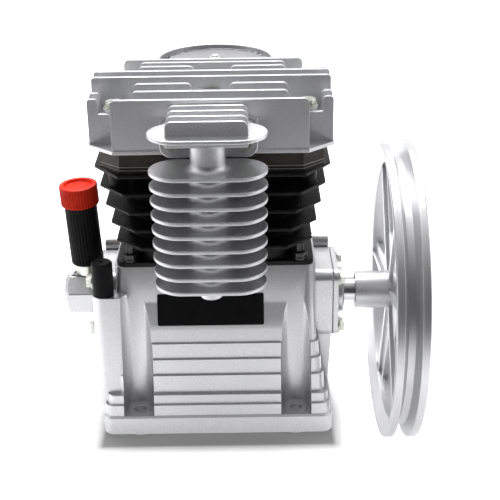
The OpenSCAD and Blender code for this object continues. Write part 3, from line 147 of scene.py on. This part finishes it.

# In each look, the colour that corners and creases darken towards, with its amount and reach, is painted
# shade.
finishes = {
    "cast_aluminium": {
        "dark": (0.66, 0.66, 0.675), "light": (0.80, 0.80, 0.815),
        "metallic": 0.78, "roughness": (0.30, 0.42),
        "cloud": 14, "grain": 760, "grainShare": 0.80, "bump": 0.24, "bumpDepth": 0.00016,
        "edgeRadius": 0.0007, "edge": (0.92, 0.92, 0.93), "edgeWearAndHighlightAmount": 0.5,
        "paintedShade": (0.26, 0.26, 0.27), "paintedShadeAmount": 0.24, "paintedShadeReach": 0.005,
    },
    "machined_aluminium": {
        "dark": (0.64, 0.64, 0.655), "light": (0.76, 0.76, 0.775),
        "metallic": 0.75, "roughness": (0.30, 0.42),
        "cloud": 30, "grain": 2600, "grainShare": 0.6, "bump": 0.10, "bumpDepth": 0.00004, "turned": 0.004,
        "castWithin": 0.1275,
        "edgeRadius": 0.0005, "edge": (0.95, 0.95, 0.95), "edgeWearAndHighlightAmount": 0.5,
        "paintedShade": (0.35, 0.35, 0.36), "paintedShadeAmount": 0.35, "paintedShadeReach": 0.008,
    },
    "black_cast_iron": {
        "dark": (0.003, 0.003, 0.0035), "light": (0.014, 0.014, 0.015),
        "metallic": 0.0, "roughness": (0.26, 0.48),
        "cloud": 40, "grain": 520, "grainShare": 0.6, "bump": 0.8, "bumpDepth": 0.0006,
        "edgeRadius": 0.0010, "edge": (0.075, 0.075, 0.075), "edgeWearAndHighlightAmount": 0.5,
        "paintedShade": (0.003, 0.003, 0.003), "paintedShadeAmount": 0.7, "paintedShadeReach": 0.016,
        "extra": {"Specular IOR Level": 0.2},
    },
    "plate_steel": {
        "dark": (0.022, 0.018, 0.015), "light": (0.060, 0.048, 0.040),
        "metallic": 0.35, "roughness": (0.38, 0.55),
        "cloud": 60, "grain": 900, "grainShare": 0.5, "bump": 0.2, "bumpDepth": 0.0001,
        "edgeRadius": 0.0004, "edge": (0.20, 0.18, 0.16), "edgeWearAndHighlightAmount": 0.5,
        "paintedShade": (0.01, 0.01, 0.01), "paintedShadeAmount": 0.4, "paintedShadeReach": 0.006,
    },
    "zinc_steel": {
        "dark": (0.56, 0.58, 0.53), "light": (0.82, 0.84, 0.78),
        "metallic": 0.9, "roughness": (0.24, 0.40),
        "cloud": 160, "grain": 1400, "grainShare": 0.4, "bump": 0.1, "bumpDepth": 0.00005,
        "edgeRadius": 0.0004, "edge": (0.93, 0.94, 0.90), "edgeWearAndHighlightAmount": 0.5,
        "paintedShade": (0.16, 0.16, 0.14), "paintedShadeAmount": 0.6, "paintedShadeReach": 0.004,
    },
    "dark_steel": {
        "dark": (0.035, 0.035, 0.036), "light": (0.11, 0.11, 0.11),
        "metallic": 0.85, "roughness": (0.26, 0.45),
        "cloud": 120, "grain": 1300, "grainShare": 0.5, "bump": 0.15, "bumpDepth": 0.00006,
        "edgeRadius": 0.0004, "edge": (0.45, 0.45, 0.44), "edgeWearAndHighlightAmount": 0.5,
        "paintedShade": (0.02, 0.02, 0.02), "paintedShadeAmount": 0.5, "paintedShadeReach": 0.004,
    },
    "bearing_steel": {
        "dark": (0.60, 0.60, 0.61), "light": (0.76, 0.76, 0.77),
        "metallic": 1.0, "roughness": (0.14, 0.24),
        "cloud": 60, "grain": 3000, "grainShare": 0.5, "bump": 0.06, "bumpDepth": 0.00003, "turned": 0.004,
        "edgeRadius": 0.0003, "edge": (0.9, 0.9, 0.9), "edgeWearAndHighlightAmount": 0.4,
        "paintedShade": (0.2, 0.2, 0.2), "paintedShadeAmount": 0.4, "paintedShadeReach": 0.004,
    },
    "black_plastic": {
        "dark": (0.004, 0.004, 0.005), "light": (0.009, 0.009, 0.011),
        "metallic": 0.0, "roughness": (0.40, 0.52),
        "cloud": 70, "grain": 1500, "grainShare": 0.5, "bump": 0.10, "bumpDepth": 0.00006,
        "edgeRadius": 0.0005, "edge": (0.05, 0.05, 0.055), "edgeWearAndHighlightAmount": 0.3,
        "paintedShade": (0.004, 0.004, 0.004), "paintedShadeAmount": 0.4, "paintedShadeReach": 0.003,
        "extra": {"Specular IOR Level": 0.10},
    },
    "black_label": {
        "dark": (0.006, 0.006, 0.007), "light": (0.012, 0.012, 0.013),
        "metallic": 0.0, "roughness": (0.30, 0.42),
        "cloud": 60, "grain": 900, "grainShare": 0.4, "bump": 0.05, "bumpDepth": 0.00005,
        "edgeRadius": 0.0003, "edge": (0.03, 0.03, 0.03), "edgeWearAndHighlightAmount": 0.3,
        "paintedShade": (0.004, 0.004, 0.004), "paintedShadeAmount": 0.2, "paintedShadeReach": 0.002,
        "extra": {"Specular IOR Level": 0.08},
    },
    "red_plastic": {
        "dark": (0.84, 0.018, 0.003), "light": (0.95, 0.045, 0.010),
        "metallic": 0.0, "roughness": (0.34, 0.46),
        "cloud": 60, "grain": 1200, "grainShare": 0.4, "bump": 0.06, "bumpDepth": 0.00006,
        "edgeRadius": 0.0006, "edge": (0.90, 0.18, 0.12), "edgeWearAndHighlightAmount": 0.45,
        "paintedShade": (0.34, 0.006, 0.003), "paintedShadeAmount": 0.5, "paintedShadeReach": 0.003,
        "extra": {"Specular IOR Level": 0.16},
    },
    "gasket_fibre": {
        "dark": (0.26, 0.25, 0.23), "light": (0.50, 0.49, 0.46),
        "metallic": 0.0, "roughness": (0.6, 0.85),
        "cloud": 150, "grain": 1400, "grainShare": 0.6, "bump": 0.4, "bumpDepth": 0.00015,
        "edgeRadius": 0.0002, "edge": (0.6, 0.6, 0.58), "edgeWearAndHighlightAmount": 0.2,
        "paintedShade": (0.06, 0.06, 0.06), "paintedShadeAmount": 0.4, "paintedShadeReach": 0.002,
    },
    "seal_rubber": {
        "dark": (0.012, 0.012, 0.013), "light": (0.030, 0.030, 0.032),
        "metallic": 0.0, "roughness": (0.5, 0.7),
        "cloud": 90, "grain": 1500, "grainShare": 0.5, "bump": 0.2, "bumpDepth": 0.0001,
        "edgeRadius": 0.0004, "edge": (0.06, 0.06, 0.06), "edgeWearAndHighlightAmount": 0.3,
        "paintedShade": (0.005, 0.005, 0.005), "paintedShadeAmount": 0.4, "paintedShadeReach": 0.003,
    },
    "sight_glass": {
        "dark": (0.72, 0.66, 0.40), "light": (0.86, 0.82, 0.60),
        "metallic": 0.0, "roughness": (0.04, 0.12),
        "cloud": 70, "grain": 900, "grainShare": 0.3, "bump": 0.02, "bumpDepth": 0.00004,
        "edgeRadius": 0.0004, "edge": (0.9, 0.9, 0.8), "edgeWearAndHighlightAmount": 0.2,
        "paintedShade": (0.3, 0.25, 0.1), "paintedShadeAmount": 0.3, "paintedShadeReach": 0.003,
        "extra": {"Transmission Weight": 0.55, "IOR": 1.49},
    },
    "filter_foam": {
        "dark": (0.05, 0.048, 0.042), "light": (0.30, 0.29, 0.25),
        "metallic": 0.0, "roughness": (0.8, 0.95),
        "cloud": 80, "grain": 500, "grainShare": 0.8, "bump": 0.9, "bumpDepth": 0.001,
        "edgeRadius": 0.0004, "edge": (0.35, 0.34, 0.3), "edgeWearAndHighlightAmount": 0.2,
        "paintedShade": (0.02, 0.02, 0.02), "paintedShadeAmount": 0.6, "paintedShadeReach": 0.005,
    },
}


def makeFinish(name, look):
    sockets = {"Metallic": look["metallic"], **look.get("extra", {})}
    material, tree, shader = startMaterial(name, sockets)
    place = addNode(tree, "TexCoord").outputs["Object"]
    grainPlace = place
    castShare = None
    if "turned" in look:
        grainPlace, radius = turnedPlace(tree, place, look["turned"])
        if "castWithin" in look:
            limit = look["castWithin"]
            castShare = remap(tree, radius, limit, limit - surface["castBlend"])
    cloud = addNode(tree, "TexNoise", {"Vector": place, "Scale": look["cloud"],
                                       "Detail": surface["cloudDetail"]}).outputs[0]
    grain = addNode(tree, "TexNoise", {"Vector": grainPlace, "Scale": look["grain"],
                                       "Detail": surface["grainDetail"],
                                       "Roughness": surface["grainRoughness"]}).outputs[0]
    bumpDepth = look["bumpDepth"]
    if castShare is not None:
        sand = addNode(tree, "TexNoise", {"Vector": place, "Scale": surface["sandScale"],
                                          "Detail": surface["grainDetail"]}).outputs[0]
        grain = addNode(tree, "Mix", {0: castShare, 2: grain, 3: sand}).outputs[0]
        bumpDepth = remap(tree, castShare, 0.0, 1.0, bumpDepth, surface["sandDepth"] * bumpDepth)
    mottle = addNode(tree, "Mix", {0: look["grainShare"], 2: cloud, 3: grain}).outputs[0]
    spread = remap(tree, mottle, *surface["spread"])
    colour = mixColours(tree, spread, look["dark"], look["light"])
    samples = surface["samples"]
    rounded = addNode(tree, "Bevel", {"Radius": look["edgeRadius"]}, samples=samples).outputs[0]
    normal = addNode(tree, "NewGeometry").outputs["Normal"]
    turn = addNode(tree, "VectorMath", {0: rounded, 1: normal}, operation="DOT_PRODUCT").outputs["Value"]
    reach = {"Distance": look["paintedShadeReach"]}
    shelter = addNode(tree, "AmbientOcclusion", reach, samples=samples).outputs["AO"]
    # Painted highlight and wear: open edges, where the bevelled normal turns away from the surface normal,
    # get the lighter edge colour.
    edge = calculate(tree, "MULTIPLY", remap(tree, turn, *surface["wearAndHighlightTurn"]), look["edgeWearAndHighlightAmount"])
    edge = calculate(tree, "MULTIPLY", edge, shelter, clamp=True)
    colour = mixColours(tree, edge, colour, look["edge"])
    # Painted shade: the colour darkens where the AO node finds other surfaces near, in corners, creases
    # and between parts.
    paintedShade = calculate(tree, "MULTIPLY", calculate(tree, "SUBTRACT", 1.0, shelter), look["paintedShadeAmount"])
    colour = mixColours(tree, paintedShade, colour, look["paintedShade"])
    tree.links.new(colour, shader.inputs["Base Color"])
    roughness = remap(tree, grain, *surface["roughFrom"], *look["roughness"])
    tree.links.new(roughness, shader.inputs["Roughness"])
    bump = addNode(tree, "Bump", {"Strength": look["bump"], "Distance": bumpDepth, "Height": grain,
                                  "Normal": rounded})
    tree.links.new(bump.outputs[0], shader.inputs["Normal"])
    return material


# Pieces that differ a little from their slot
variants = {
    "filter_cover": {"dark": (0.30, 0.30, 0.31), "light": (0.44, 0.44, 0.45), "metallic": 0.6},
}
materials = {slot: makeFinish(slot, look) for slot, look in finishes.items()}
for nodeName, change in variants.items():
    materials[nodeName] = makeFinish(nodeName + "Finish", {**finishes[slotOfNode[nodeName]], **change})
print("finishes made:", len(materials))


def finishOf(nodeName):
    return materials.get(nodeName, materials[slotOfNode[nodeName]])


def dress(piece, body):
    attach(piece, body)


# Gives a piece the finish and body of a CAD node, and hides the node where the piece replaces it
def finishPiece(piece, nodeName, replacing=False):
    piece.data.materials.clear()
    piece.data.materials.append(finishOf(nodeName))
    if replacing:
        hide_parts(nodeName)
    dress(piece, bodyOfNode[nodeName])


for nodeName, nodeObject in frame["nodes"].items():
    if not nodeObject.data.materials:
        nodeObject.data.materials.append(None)
    for index in range(len(nodeObject.data.materials)):
        nodeObject.data.materials[index] = finishOf(nodeName)

# Castings

# Distances in mm and angles in degrees that the mesh steps share
meshSetup = {"join": 0.002, "joinTurned": 0.0001, "flat": 0.4, "sharp": 34, "bevelFrom": 32}


# Copies a CAD node and joins its split corners; flat faces are merged where that leaves no seam
def cleanCopy(nodeName, pieceName, merge):
    work = bmesh.new()
    work.from_mesh(frame["nodes"][nodeName].data)
    bmesh.ops.remove_doubles(work, verts=work.verts, dist=meshSetup["join"] * mm)
    if merge:
        flat = math.radians(meshSetup["flat"])
        bmesh.ops.dissolve_limit(work, angle_limit=flat, verts=work.verts, edges=work.edges)
    mesh = bpy.data.meshes.new(pieceName)
    work.to_mesh(mesh)
    work.free()
    if "custom_normal" in mesh.attributes:
        mesh.attributes.remove(mesh.attributes["custom_normal"])
    piece = bpy.data.objects.new(pieceName, mesh)
    scene.collection.objects.link(piece)
    return piece


def smoothWithEdges(mesh):
    mesh.shade_smooth()
    mesh.set_sharp_from_angle(angle=math.radians(meshSetup["sharp"]))


def boxMesh(name, low, high):
    work = bmesh.new()
    size = Vector(high) - Vector(low)
    middle = (Vector(high) + Vector(low)) / 2
    bmesh.ops.create_cube(work, size=1, matrix=Matrix.Translation(middle) @ Matrix.Diagonal((*size, 1)))
    mesh = bpy.data.meshes.new(name)
    work.to_mesh(mesh)
    work.free()
    return mesh


# Cuts boxes out of a piece for good, so that no helper is left in the scene
def cutAway(piece, boxes):
    for index, (low, high) in enumerate(boxes):
        cutter = bpy.data.objects.new("cutter" + str(index), boxMesh("cutter", low, high))
        scene.collection.objects.link(cutter)
        cut = piece.modifiers.new("cut", "BOOLEAN")
        cut.operation = "DIFFERENCE"
        cut.solver = "EXACT"
        cut.object = cutter
        bpy.context.view_layer.update()
        evaluated = piece.evaluated_get(bpy.context.evaluated_depsgraph_get())
        finished = bpy.data.meshes.new_from_object(evaluated)
        piece.modifiers.clear()
        piece.data = finished
        bpy.data.objects.remove(cutter)


# Spanner channels run straight down to the flange and are open to the front and rear
mountingPitch = (153, 124)
channels = {"width": 29.4, "floor": 22, "top": 112, "outer": 79}


def channelBoxes(look):
    half = look["width"] / 2
    holeX, holeY = (pitch / 2 for pitch in mountingPitch)
    boxes = []
    for sideX in (-1, 1):
        for sideY in (-1, 1):
            near, far = sorted((sideY * holeY, sideY * look["outer"]))
            boxes.append(((mm * (sideX * holeX - half), mm * near, mm * look["floor"]),
                          (mm * (sideX * holeX + half), mm * far, mm * look["top"])))
    return boxes


castings = {
    "crankcase": {"piece": "crankcaseCasting", "edge": 0, "steps": 0},
    "cylinder_block": {"piece": "cylinderCasting", "edge": 0.9, "steps": 3},
    "aftercooler": {"piece": "aftercoolerCasting", "edge": 0.8, "steps": 3},
    "flywheel": {"piece": "flywheelCasting", "edge": 0.6, "steps": 2},
    "plain_end_cover": {"piece": "fillerEndCover", "edge": 0.8, "steps": 3},
    "drive_end_cover": {"piece": "shaftEndCover", "edge": 0.6, "steps": 2},
    "filter_base": {"piece": "filterPan", "edge": 0.6, "steps": 2},
    "filter_cover": {"piece": "filterLid", "edge": 0.4, "steps": 2},
}


def breakEdges(piece, width, steps):
    bevel = piece.modifiers.new("brokenEdges", "BEVEL")
    bevel.width = width * mm
    bevel.segments = steps
    bevel.limit_method = "ANGLE"
    bevel.angle_limit = math.radians(meshSetup["bevelFrom"])
    bevel.use_clamp_overlap = False
    bevel.harden_normals = True


for nodeName, look in castings.items():
    piece = cleanCopy(nodeName, look["piece"], look["edge"] > 0)
    if nodeName == "crankcase":
        cutAway(piece, channelBoxes(channels))
    smoothWithEdges(piece.data)
    if look["edge"] > 0:
        breakEdges(piece, look["edge"], look["steps"])
    finishPiece(piece, nodeName, True)
print("castings dressed")

# Turned forms

# Closed profiles of (radius, height) in mm, turned about +Z, then placed
def revolve(name, profiles, place, sides=64):
    work = bmesh.new()
    for profile in profiles:
        rings = []
        for step in range(sides):
            angle = 2 * math.pi * step / sides
            across, along = mm * math.cos(angle), mm * math.sin(angle)
            rings.append([work.verts.new((r * across, r * along, z * mm)) for r, z in profile])
        for step in range(sides):
            here, after = rings[step], rings[(step + 1) % sides]
            for index in range(len(profile)):
                follow = (index + 1) % len(profile)
                work.faces.new((here[index], after[index], after[follow], here[follow]))
    bmesh.ops.remove_doubles(work, verts=work.verts, dist=meshSetup["joinTurned"] * mm)
    bmesh.ops.recalc_face_normals(work, faces=work.faces)
    work.transform(place)
    mesh = bpy.data.meshes.new(name)
    work.to_mesh(mesh)
    work.free()
    smoothWithEdges(mesh)
    piece = bpy.data.objects.new(name, mesh)
    scene.collection.objects.link(piece)
    return piece


# Points of a rounded edge, listed as (how far in from the wall, how far above the end)
def edgeAt(wall, height, steps):
    return [(wall - inset, height + rise) for inset, rise in steps]


def evenHeights(low, high, rows):
    return [low + (high - low) * step / rows for step in range(rows + 1)]


# Root fillets between the aftercooler tube and the top of each fin
rootFillets = {"axis": (-1.4, -109), "tube": 15.25, "fillet": 6.5, "firstFin": 289, "pitch": 13.2,
               "fins": 9, "sink": 0.4, "steps": 8}


def buildFillets(look):
    profiles = []
    for fin in range(look["fins"]):
        top = look["firstFin"] - fin * look["pitch"]
        curve = []
        for step in range(look["steps"] + 1):
            angle = math.pi / 2 * step / look["steps"]
            curve.append((look["tube"] + look["fillet"] * (1 - math.cos(angle)),
                          top + look["fillet"] * (1 - math.sin(angle))))
        profiles.append(curve + [(look["tube"] + look["fillet"], top - look["sink"]),
                                 (look["tube"] - look["sink"], top - look["sink"]),
                                 (look["tube"] - look["sink"], top + look["fillet"])])
    x, y = look["axis"]
    place = Matrix.Translation((x * mm, y * mm, 0))
    finishPiece(revolve("aftercoolerFillets", profiles, place), "aftercooler")


buildFillets(rootFillets)

# Oil filler: fluted tube, ribbed cap and plain collar round one leaning axis
filler = {
    "foot": (-126.9, 0, 154.6), "lean": -2.6, "forward": 1.5, "sides": 360,
    "tube": {"outer": 15.7, "inner": 11.4, "length": 61.5, "flutes": 30, "depth": 0.55, "rows": 12,
             "footEdge": ((1.4, 0), (0.5, 0.5), (0, 1.6), (0, 2.4)), "topEdge": ((0, -1.2), (0.8, 0)),
             "rowsFrom": 2.6, "rowsTo": 1.6, "flutesFrom": 2.5, "flutesTo": 1.4},
    "collar": {"outer": 12.6, "inner": 9.2, "low": -12.0, "high": 7.0, "chamfer": 1.5, "gap": 0.3,
               "room": 0.2},
    "cap": {"outer": 18.4, "ribDepth": 0.7, "ribs": 40, "height": 20.2, "lip": 4.6, "recess": 3.2,
            "gap": 0.3, "plug": 10.4, "plugLength": 11, "rows": 4, "rowsFrom": 1.8, "ribsFrom": 1.5,
            "lowEdge": ((1.0, 0), (0.3, 0.4), (0, 1.3)),
            "topEdge": ((0, -1.3), (0.3, -0.5), (1.0, -0.1), (1.6, 0)),
            "lipEdge": ((-1.2, 0), (-0.4, -0.3), (0, -1.0)), "recessEdge": ((0.5, 0.6), (1.4, 0)),
            "crown": 0.5},
    "wallReach": 0.4,
}


def fillerPlace(look):
    x, y, z = (value * mm for value in look["foot"])
    return (Matrix.Translation((x, y, z)) @ Matrix.Rotation(math.radians(look["lean"]), 4, "Y")
            @ Matrix.Rotation(math.radians(look["forward"]), 4, "X"))


# Moves the outer wall inwards in waves round the axis, as flutes or ribs do
def waveWall(piece, place, low, high, outer, count, depth):
    inverse = place.inverted()
    wall = (outer - filler["wallReach"]) * mm
    for vertex in piece.data.vertices:
        point = inverse @ vertex.co
        radius = math.hypot(point.x, point.y)
        if low * mm < point.z < high * mm and radius > wall:
            angle = math.atan2(point.y, point.x)
            wave = max(0.0, math.cos(angle * count)) ** 0.5
            scale = 1 - depth * mm * wave / radius
            vertex.co = place @ Vector((point.x * scale, point.y * scale, point.z))


def buildFillerTube(look, place, sides):
    r, inner, length = look["outer"], look["inner"], look["length"]
    profile = [(inner, 0)] + edgeAt(r, 0, look["footEdge"])
    profile += [(r, z) for z in evenHeights(look["rowsFrom"], length - look["rowsTo"], look["rows"])]
    profile += edgeAt(r, length, look["topEdge"]) + [(inner, length)]
    piece = revolve("fillerTube", [profile], place, sides)
    waveWall(piece, place, look["flutesFrom"], length - look["flutesTo"], r, look["flutes"], look["depth"])
    finishPiece(piece, "filler_tube", True)


def buildFillerCollar(look, place, tubeInner):
    r, inner, low, high = look["outer"], look["inner"], look["low"], look["high"]
    chamfer, shoulder, spigot = look["chamfer"], -look["gap"], tubeInner - look["room"]
    profile = [(inner, low), (r - chamfer, low), (r, low + chamfer), (r, shoulder), (spigot, shoulder),
               (spigot, high), (inner, high)]
    finishPiece(revolve("fillerCollar", [profile], place), "filler_collar", True)


def buildFillerCap(look, place, tubeLength, sides):
    r, low = look["outer"], tubeLength + look["gap"]
    top = low + look["height"]
    inner, bottom, floor = r - look["lip"], low - look["plugLength"], top - look["recess"]
    rows = evenHeights(low + look["rowsFrom"], top - look["rowsFrom"], look["rows"])
    profile = [(0, bottom), (look["plug"], bottom), (look["plug"], low)] + edgeAt(r, low, look["lowEdge"])
    profile += [(r, z) for z in rows] + edgeAt(r, top, look["topEdge"])
    profile += edgeAt(inner, top, look["lipEdge"]) + edgeAt(inner, floor, look["recessEdge"])
    profile.append((0, floor + look["crown"]))
    piece = revolve("fillerCap", [profile], place, sides)
    waveWall(piece, place, low + look["ribsFrom"], top - look["ribsFrom"], r, look["ribs"],
             look["ribDepth"])
    finishPiece(piece, "oil_cap", True)


fillerAxis = fillerPlace(filler)
buildFillerTube(filler["tube"], fillerAxis, filler["sides"])
buildFillerCollar(filler["collar"], fillerAxis, filler["tube"]["inner"])
buildFillerCap(filler["cap"], fillerAxis, filler["tube"]["length"], filler["sides"])

# Spot faces round the four mounting holes, each with a rim round a shallow dip
spotFaces = {"inner": 6.0, "outer": 11.4, "raised": 0.5, "sink": 0.4, "edge": 0.2, "rim": 1.0, "dip": 0.25,
             "mouth": (0.5, 0.6)}


def buildSpotFaces(look):
    inner, outer, top = look["inner"], look["outer"], look["raised"]
    low, edge, rim, dip = -look["sink"], look["edge"], look["rim"], top - look["dip"]
    mouthWidth, mouthDepth = look["mouth"]
    pitchX, pitchY = mountingPitch
    profile = [(inner, low), (outer, low), (outer, top - edge), (outer - edge, top), (outer - rim, top),
               (outer - rim - edge, dip), (inner + mouthWidth, dip), (inner, top - mouthDepth)]
    for sideX in (-1, 1):
        for sideY in (-1, 1):
            spot = (sideX * pitchX / 2 * mm, sideY * pitchY / 2 * mm, channels["floor"] * mm)
            name = "spotFace" + ("Left" if sideX < 0 else "Right") + ("Front" if sideY < 0 else "Rear")
            piece = revolve(name, [profile], Matrix.Translation(spot))
            piece.data.materials.append(materials["machined_aluminium"])
            dress(piece, bodyOfNode["crankcase"])


buildSpotFaces(spotFaces)

# Cast bosses under the bolts of both end covers, and two raised rings round the seal
coverDetail = {"face": 118.2, "pitch": 25.5, "boss": 7.6, "hole": 5.2, "high": 1.6, "sink": 15,
               "bossEdge": ((0, -0.9), (0.3, -0.3), (0.9, 0)), "bossSides": 32,
               "rings": ((24.2, 26.4, 1.1), (29.5, 31.0, 0.8)), "ringSink": 0.5, "ringEdge": 0.4}


def buildCoverBosses(look):
    hole, low, high, pitch = look["hole"], -look["sink"], look["high"], look["pitch"]
    profile = [(hole, low), (look["boss"], low)] + edgeAt(look["boss"], high, look["bossEdge"])
    profile.append((hole, high))
    for side, nodeName in ((1, "drive_end_cover"), (-1, "plain_end_cover")):
        turn = Matrix.Rotation(math.radians(90 * side), 4, "Y")
        for row in (-1, 1):
            for column in (-1, 1):
                spot = (side * look["face"] * mm, column * pitch * mm, crankHeight + row * pitch * mm)
                name = nodeName + "Boss" + str(row + 1) + str(column + 1)
                piece = revolve(name, [profile], Matrix.Translation(spot) @ turn, look["bossSides"])
                finishPiece(piece, nodeName)


def buildSealRings(look):
    place = (Matrix.Translation((look["face"] * mm, 0, crankHeight))
             @ Matrix.Rotation(math.radians(90), 4, "Y"))
    low, edge = -look["ringSink"], look["ringEdge"]
    rings = []
    for inner, outer, rise in look["rings"]:
        rings.append([(inner, low), (outer, low), (outer, rise - edge), (outer - edge, rise),
                      (inner + edge, rise), (inner, rise - edge)])
    finishPiece(revolve("sealBead", rings, place), "drive_end_cover")


buildCoverBosses(coverDetail)
buildSealRings(coverDetail)

# Low hexagon nut that stays under the ring of the filter cover
lowNut = {"place": (0, 143, 320.2), "across": 13, "height": 1.6, "bore": 3.2,
          "topEdge": ((0, -0.4), (0.7, 0))}


def buildLowNut(look):
    outer = look["across"] / 2 / math.cos(math.pi / 6)
    bore, high = look["bore"], look["height"]
    profile = [(bore, 0), (outer, 0)] + edgeAt(outer, high, look["topEdge"]) + [(bore, high)]
    x, y, z = (value * mm for value in look["place"])
    finishPiece(revolve("filterLowNut", [profile], Matrix.Translation((x, y, z)), 6), "filter_nut", True)


buildLowNut(lowNut)
print("fillets, filler, spot faces, cover bosses and low nut built")

# Floor, world and lamps

stageLook = {
    "floorHeight": -0.0276,
    "tableHeight": -0.0004,
    "tableEdge": 0.154,
    "edgeSlope": 0.002,
    "floorSize": 14,
    "floorColour": (0.84, 0.84, 0.84),
    "footprint": (0.111, 0.094),
    # The glow is lowest at the flange, so the floor shows a painted shadow round the base.
    "lift": (0.06, 0.78, 1.1),         # at the flange, just beyond it and far away
    "liftReach": (0.015, 0.40),
    "mirrored": 0.84,                  # how bright that lift is to metal
    # Painted shadow: the floor colour darkens to this right round the base.
    "paintedShadowColour": (0.45, 0.45, 0.45),
    "paintedShadowReach": 0.005,
    # Painted shade: from farFrom to farTo in front, the floor turns this dark for reflections and bounce
    # light.
    "paintedFarShade": (0.20, 0.20, 0.205),  # the floor in front as the pump mirrors it
    "farFrom": 0.26,
    "farTo": 0.80,
    "skyDiffuse": 0.27,
    "skyBehind": 0.80,                 # the room behind the pump and on its camera side, for metal
    "skyFront": 0.06,
    "skyTurn": (-0.85, -0.15),
}


# Two kinds of ray as numbers: camera, and glossy or transmission
def rayKinds(tree):
    path = addNode(tree, "LightPath")
    mirror = calculate(tree, "MAXIMUM", path.outputs["Is Glossy Ray"], path.outputs["Is Transmission Ray"])
    return path.outputs["Is Camera Ray"], mirror


# The pump stands on a low table, and the wheel hangs beyond its edge
def buildFloor(look):
    half = look["floorSize"] / 2
    edge, low, high = look["tableEdge"], look["floorHeight"], look["tableHeight"]
    outline = ((-half, high), (edge, high), (edge + look["edgeSlope"], low), (half, low))
    mesh = bpy.data.meshes.new("studioFloor")
    mesh.from_pydata([(x, y, z) for y in (-half, half) for x, z in outline], [],
                     [(index, index + 1, index + 5, index + 4) for index in range(3)])
    floor = bpy.data.objects.new("studioFloor", mesh)
    scene.collection.objects.link(floor)
    material = bpy.data.materials.new("studioFloor")
    material.use_nodes = True
    tree = material.node_tree
    tree.nodes.clear()
    camera, mirror = rayKinds(tree)
    place = addNode(tree, "NewGeometry").outputs["Position"]
    forward = calculate(tree, "MULTIPLY", addNode(tree, "SeparateXYZ", {0: place}).outputs[1], -1.0)
    unseen = calculate(tree, "SUBTRACT", 1.0, camera)
    # Painted shade on the floor in front: for every ray but the camera's, the floor darkens and loses its
    # glow with distance in front.
    front = calculate(tree, "MULTIPLY", remap(tree, forward, look["farFrom"], look["farTo"]), unseen)
    atFlange, beyond, farAway = look["lift"]
    nearReach, farReach = look["liftReach"]
    sides = addNode(tree, "VectorMath", {0: place}, operation="ABSOLUTE").outputs[0]
    base = (*look["footprint"], 1)
    outside = addNode(tree, "VectorMath", {0: sides, 1: base}, operation="SUBTRACT").outputs[0]
    outside = addNode(tree, "VectorMath", {0: outside, 1: (0, 0, 0)}, operation="MAXIMUM").outputs[0]
    reach = addNode(tree, "VectorMath", {0: outside}, operation="LENGTH").outputs["Value"]
    colour = mixColours(tree, front, look["floorColour"], look["paintedFarShade"])
    # Painted shadow: the floor colour darkens close round the base.
    colour = mixColours(tree, remap(tree, reach, look["paintedShadowReach"], 0.0), colour, look["paintedShadowColour"])
    diffuse = addNode(tree, "BsdfDiffuse", {"Color": colour})
    # Painted shadow: the glow is low at the flange and rises with distance from the base.
    nearLift = calculate(tree, "MAXIMUM", remap(tree, reach, 0.0, nearReach, atFlange, beyond),
                         calculate(tree, "MULTIPLY", mirror, beyond))
    whiteness = calculate(tree, "ADD", nearLift,
                          remap(tree, reach, nearReach, farReach, 0.0, farAway - beyond))
    glossyShare = calculate(tree, "MULTIPLY", mirror, look["mirrored"])
    lift = calculate(tree, "MULTIPLY", whiteness, calculate(tree, "MAXIMUM", camera, glossyShare))
    lift = calculate(tree, "MULTIPLY", lift, calculate(tree, "SUBTRACT", 1.0, front))
    glow = addNode(tree, "Emission", {"Color": (1, 1, 1, 1), "Strength": lift})
    both = addNode(tree, "AddShader", {0: diffuse.outputs[0], 1: glow.outputs[0]})
    addNode(tree, "OutputMaterial", {0: both.outputs[0]})
    mesh.materials.append(material)


def buildWorld(look):
    world = bpy.data.worlds.new("studioWorld")
    scene.world = world
    world.use_nodes = True
    tree = world.node_tree
    tree.nodes.clear()
    camera, mirror = rayKinds(tree)
    heading = addNode(tree, "SeparateXYZ", {0: addNode(tree, "TexCoord").outputs["Generated"]}).outputs[1]
    seen = remap(tree, heading, *look["skyTurn"], look["skyFront"], look["skyBehind"])
    mirrored = addNode(tree, "Mix", {0: mirror, 2: look["skyDiffuse"], 3: seen}).outputs[0]
    strength = addNode(tree, "Mix", {0: camera, 2: mirrored, 3: 1.0}).outputs[0]
    sky = addNode(tree, "Background", {"Color": (1, 1, 1, 1), "Strength": strength})
    addNode(tree, "OutputWorld", {0: sky.outputs[0]})


lampAim = (0.03, 0, 0.15)
lamps = {
    "overheadLamp": {"place": (-0.1, 0.55, 1.5), "size": 0.9, "power": 30},
    "leftLamp": {"place": (-1.4, -0.2, 0.9), "size": 0.9, "power": 1.8},
    "rightLamp": {"place": (1.4, -0.2, 0.9), "size": 0.9, "power": 2},
}


def hangLamp(name, look):
    data = bpy.data.lights.new(name, "AREA")
    data.size = look["size"]
    data.energy = look["power"]
    lamp = bpy.data.objects.new(name, data)
    scene.collection.objects.link(lamp)
    lamp.location = look["place"]
    aim = Vector(lampAim) - lamp.location
    lamp.rotation_euler = aim.to_track_quat("-Z", "Y").to_euler()


buildFloor(stageLook)
buildWorld(stageLook)
for lampName, lampLook in lamps.items():
    hangLamp(lampName, lampLook)
scene.view_settings.view_transform = "Standard"
print("stage built")
